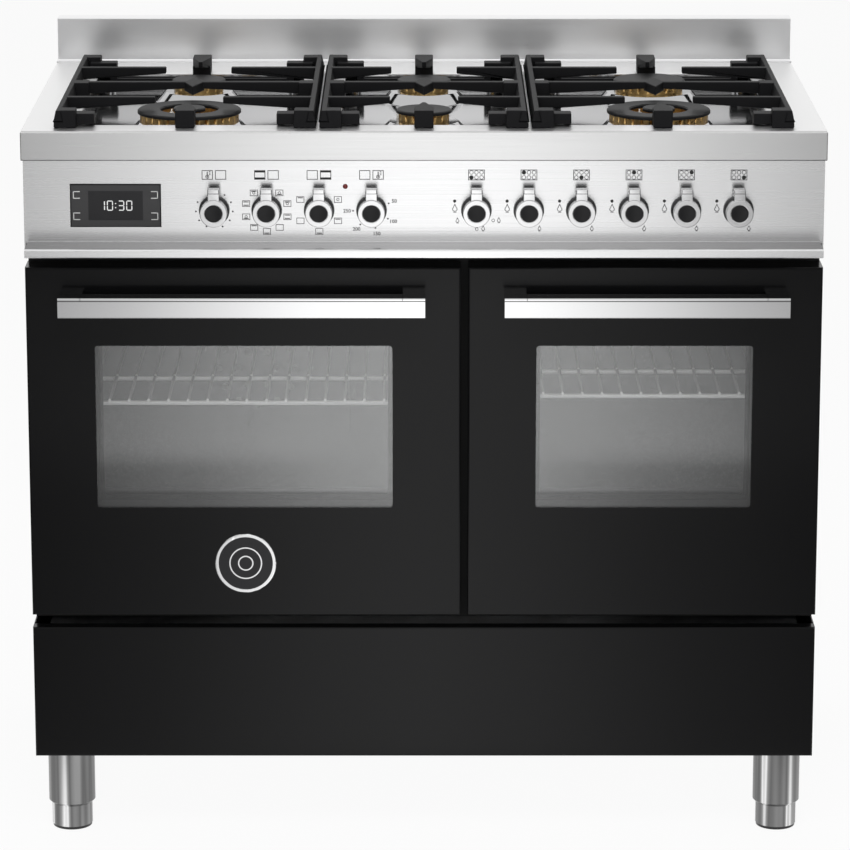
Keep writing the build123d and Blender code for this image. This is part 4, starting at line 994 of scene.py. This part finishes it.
# %% [markdown]
# ## The gas thread
# The gas inlet at the back is threaded for the fitter's hose. A small tooth is spun round the pipe
# once, and the ring is copied along it: rings look like a thread at this size and close by themselves.

# %% Gas thread
inlet_x, inlet_z = 448.0 * MM, 796.0 * MM
inlet_radius, tooth_depth, tooth_half, proud = 10.4775 * MM, 0.3 * MM, 0.7 * MM, 0.02 * MM
first_ring, ring_pitch, ring_count = 1.2 * MM, 1.8 * MM, 7
inlet = Vector((inlet_x, corners("gas_manifold")[1].y, inlet_z))
tooth = bpy.data.meshes.new("gas_thread")
tooth.from_pydata([(inlet_radius - tooth_depth, -tooth_half, 0), (inlet_radius + proud, 0, 0),
                   (inlet_radius - tooth_depth, tooth_half, 0)], [(0, 1), (1, 2), (2, 0)], [])
ring = bpy.data.objects.new("gas_thread", tooth)
bpy.context.scene.collection.objects.link(ring)
only(ring)
bpy.ops.object.mode_set(mode="EDIT")
bpy.ops.mesh.select_all(action="SELECT")
bpy.ops.mesh.spin(steps=32, angle=2 * math.pi, center=(0, 0, 0), axis=(0, 1, 0))
bpy.ops.mesh.select_all(action="SELECT")
bpy.ops.mesh.remove_doubles(threshold=0.01 * MM)
bpy.ops.mesh.normals_make_consistent(inside=False)
settle(ring)
rings = [copy_of(ring, "gas_thread_ring", inlet - Vector((0, first_ring + ring_pitch * step, 0)))
         for step in range(ring_count)]
bpy.data.objects.remove(ring)
dress(joined(rings, "gas_thread"), brass, "carcass", "burner_brass")
print("thread rings:", len(rings))

# %% [markdown]
# ## Legs
# A leg is a length of tube with a chamfered end, bored for the stem of a foot. Both are turned
# shapes, and the CAD mesh shows its facets on them, so each is made again with more sides: a
# cylinder, insets and extrusions, as on a lathe.


# %% Turning tools
def turned_blank(radius, low, high):
    """A round bar on the Z axis, in millimetres, to be shaped further."""
    bpy.ops.object.select_all(action="DESELECT")
    bpy.ops.mesh.primitive_cylinder_add(vertices=72, radius=radius * MM, depth=(high - low) * MM,
                                        location=(0, 0, (low + high) / 2 * MM))
    settle(bpy.context.object)
    return bpy.context.object


def step_out(piece, end, inset, length):
    """Inset the upper (1) or lower (-1) end face of a turned piece and push it along the axis."""
    pick_faces(piece, lambda face: face.normal.z * end > 0.9)
    bpy.ops.mesh.inset(thickness=inset * MM)
    bpy.ops.mesh.extrude_region_move(TRANSFORM_OT_translate={"value": (0, 0, length * MM)})
    settle(piece)


def round_end(piece, below, radius, segments):
    """Chamfer or round the lower end of a turned piece, which lies below a level."""
    pick_faces(piece, lambda face: face.normal.z < -0.9 and face.center.z < below * MM)
    bpy.ops.mesh.bevel(offset=radius * MM, segments=segments, affect="EDGES")
    settle(piece)


foot_names = sorted(name for name in nodes if name.startswith("foot_"))
tube_low, tube_high = (corner.z / MM for corner in corners("leg_tubes"))
foot_low, foot_high = (corner.z / MM for corner in corners(foot_names[0]))
print("leg tube from", round(tube_low, 1), "to", round(tube_high, 1), "mm")

# %% [markdown]
# The foot stands on a rubber pad that is a little narrower. Its stem could be cut by a helix, but it
# is mostly hidden in the tube, so it is extruded in steps that grow and shrink in turn, which reads as
# a thread. One leg and one foot are made, and the others are copies.

# %% Legs and feet
tube_radius, tube_chamfer, bore, bore_spare = 30.0, 4.0, 10.4, 4.0
foot_radius, stem = 26.0, 10.0
pad, pad_step, pad_round = pad_height / MM, 0.8, 1.2
thread_pitch, thread_root = 2.5, 0.9

tube = turned_blank(tube_radius, tube_low, tube_high)
round_end(tube, tube_high, tube_chamfer, 1)
step_out(tube, -1, tube_radius - tube_chamfer - bore, foot_high - tube_low + bore_spare)
foot = turned_blank(foot_radius, foot_low + pad, tube_low)
step_out(foot, 1, foot_radius - stem, thread_pitch / 2)
pick_faces(foot, lambda face: face.normal.z > 0.9 and len(face.vertices) > 4)
for half_turn in range(2 * round((foot_high - tube_low) / thread_pitch) - 1):
    width = thread_root if half_turn % 2 == 0 else 1 / thread_root
    bpy.ops.mesh.extrude_region_move(TRANSFORM_OT_translate={"value": (0, 0, thread_pitch / 2 * MM)})
    bpy.ops.transform.resize(value=(width, width, 1), center_override=(0, 0, 0))
settle(foot)
step_out(foot, -1, pad_step, -pad)
round_end(foot, pad / 2, pad_round, 3)
for piece in (tube, foot):
    smooth(piece, 30.0)

tubes = []
for name in foot_names:
    low, high = corners(name)
    spot = Vector(((low.x + high.x) / 2, (low.y + high.y) / 2, 0))
    tubes.append(copy_of(tube, name.replace("foot", "leg_tube"), spot))
    dress(copy_of(foot, name + "_finished", spot), leg_steel, body_of[name], slot_of[name], name)
dress(joined(tubes, "leg_tubes_finished"), leg_steel, body_of["leg_tubes"], slot_of["leg_tubes"], "leg_tubes")
for piece in (tube, foot):
    bpy.data.objects.remove(piece)
print("legs:", len(foot_names))

# %% [markdown]
# ## The stage
# A pale floor and a white surround, as in a catalogue studio. Light Path makes both white for rays
# that look at them straight, in a mirror or through glass, and the floor keeps a share of its own
# shading, which holds the cooker's shadow.


# %% Surround and floor
def seen_directly(shading):
    """1 for rays that look at a thing straight, in a mirror or through glass, 0 for its light."""
    seen = shading.node("ShaderNodeLightPath", output="Is Camera Ray")
    for kind in ("Is Glossy Ray", "Is Transmission Ray"):
        seen = seen.larger(shading.node("ShaderNodeLightPath", output=kind))
    return seen


room_light, room_seen, floor_seen = 0.45, 0.97, 0.92
world = bpy.data.worlds.new("studio")
bpy.context.scene.world = world
world.use_nodes = True
surround = Shading(world.node_tree)
background = world.node_tree.nodes["Background"]
surround.feed(background.inputs["Color"], (1, 1, 1))
surround.feed(background.inputs["Strength"], seen_directly(surround) * (room_seen - room_light) + room_light)

bpy.ops.object.select_all(action="DESELECT")
bpy.ops.mesh.primitive_plane_add(size=40.0)
floor = bpy.context.object
floor.name = "floor"
paper = Finish("paper", base_color=(0.85, 0.85, 0.85), roughness=0.9, specular_ior_level=0.0)
shaded = Socket(paper, paper.shader.outputs["BSDF"])
white = paper.node("ShaderNodeEmission")
paper_mix = paper.node("ShaderNodeMixShader", None,
                       {0: seen_directly(paper) * floor_seen, 1: shaded, 2: white})
paper.feed(paper.tree.nodes["Material Output"].inputs["Surface"], paper_mix)
floor.data.materials.append(paper.material)
print("floor and surround in white")

# %% [markdown]
# ## Cards
# Bare metal has no look of its own: it shows the room. A photographer stands grey cards around it,
# so that steel falls off towards its ends and round bars get a dark edge. These cards are seen only
# in mirrors, and light nothing.


# %% Reflector cards
def card(name, centre, turn, width, height, stops, strength):
    """A flat card whose grey goes by the distance in metres from the middle plane."""
    reach = stops[-1][0]
    bpy.ops.object.select_all(action="DESELECT")
    bpy.ops.mesh.primitive_plane_add(size=1.0, location=centre, rotation=turn)
    piece = bpy.context.object
    piece.name = name
    piece.scale = (width, height, 1)
    settle(piece)
    shade = Finish(name, base_color=(0, 0, 0), roughness=1.0, specular_ior_level=0.0,
                   emission_strength=strength)
    greys = shade.node("ShaderNodeValToRGB", {"stops": [(x / reach, grey) for x, grey in stops]},
                       {0: abs(shade.axis("X")) * (1 / reach)})
    shade.set("Emission Color", greys)
    piece.data.materials.append(shade.material)
    piece.visible_camera = False
    piece.visible_diffuse = False
    piece.visible_shadow = False
    piece.visible_transmission = False
    return piece


level, upright_turn, side_turn = (0, 0, 0), (math.pi / 2, 0, 0), (math.pi / 2, 0, math.pi / 2)
front_strength, side_grey = 1.8, 0.12
near_greys = [(0.0, 1.0), (0.15, 0.85), (0.38, 0.42), (0.65, 0.14), (1.2, 0.05)]
far_greys = [(0.0, 1.0), (0.25, 0.85), (0.6, 0.42), (1.0, 0.14), (1.6, 0.05)]
back_greys = [(0.0, 1.0), (0.35, 0.8), (0.8, 0.36), (1.4, 0.12), (2.2, 0.06)]
side_greys = [(0.0, side_grey), (4.0, side_grey)]
cards = [card("near_card", (0, -1.3, 0.03), level, 6.0, 1.6, near_greys, front_strength),
         card("far_card", (0, -3.9, 0.03), level, 6.0, 3.6, far_greys, front_strength),
         card("back_card", (0, -5.8, 1.53), upright_turn, 6.0, 3.0, back_greys, front_strength),
         card("side_card_left", (-2.0, -0.9, 0.89), side_turn, 3.4, 1.7, side_greys, 1.0),
         card("side_card_right", (2.0, -0.9, 0.89), side_turn, 3.4, 1.7, side_greys, 1.0)]
print("cards:", [piece.name for piece in cards])

# %% [markdown]
# ## Lamps and camera
# Three large soft lamps give plain light: one high in front, one low that looks into the ovens, and
# one above the hob. The camera stands a little above the hob and far away, with a long lens.


# %% Lamps and camera
def softbox(name, place, target, width, height, power):
    """A rectangular lamp that looks at a point and isn't seen itself."""
    bpy.ops.object.light_add(type="AREA", location=place)
    lamp = bpy.context.object
    lamp.name = name
    lamp.data.shape = "RECTANGLE"
    lamp.data.size = width
    lamp.data.size_y = height
    lamp.data.energy = power
    lamp.rotation_euler = (Vector(target) - Vector(place)).to_track_quat("-Z", "Y").to_euler()
    lamp.visible_camera = False
    lamp.visible_glossy = False


softbox("key_light", (0, -2.8, 3.4), (0, 0, 0.6), 2.4, 1.4, 60)
softbox("oven_light", (0, -4.4, 1.2), (0, 0, 0.5), 2.0, 0.8, 95)
softbox("top_light", (0, 0.4, 3.2), (0, 0, 0.9), 2.0, 1.2, 20)

looks_down = 0.2409
camera_data = bpy.data.cameras.new("photo_camera")
camera = bpy.data.objects.new("photo_camera", camera_data)
bpy.context.scene.collection.objects.link(camera)
camera_data.sensor_width = 36.0
camera_data.lens = 180.0
camera.location = (0.0013, -5.465, 1.824)
camera.rotation_euler = (math.pi / 2 - looks_down, 0, 0)
bpy.context.scene.camera = camera
bpy.context.scene.view_settings.view_transform = "Standard"
print("camera at", [round(v, 3) for v in camera.location])
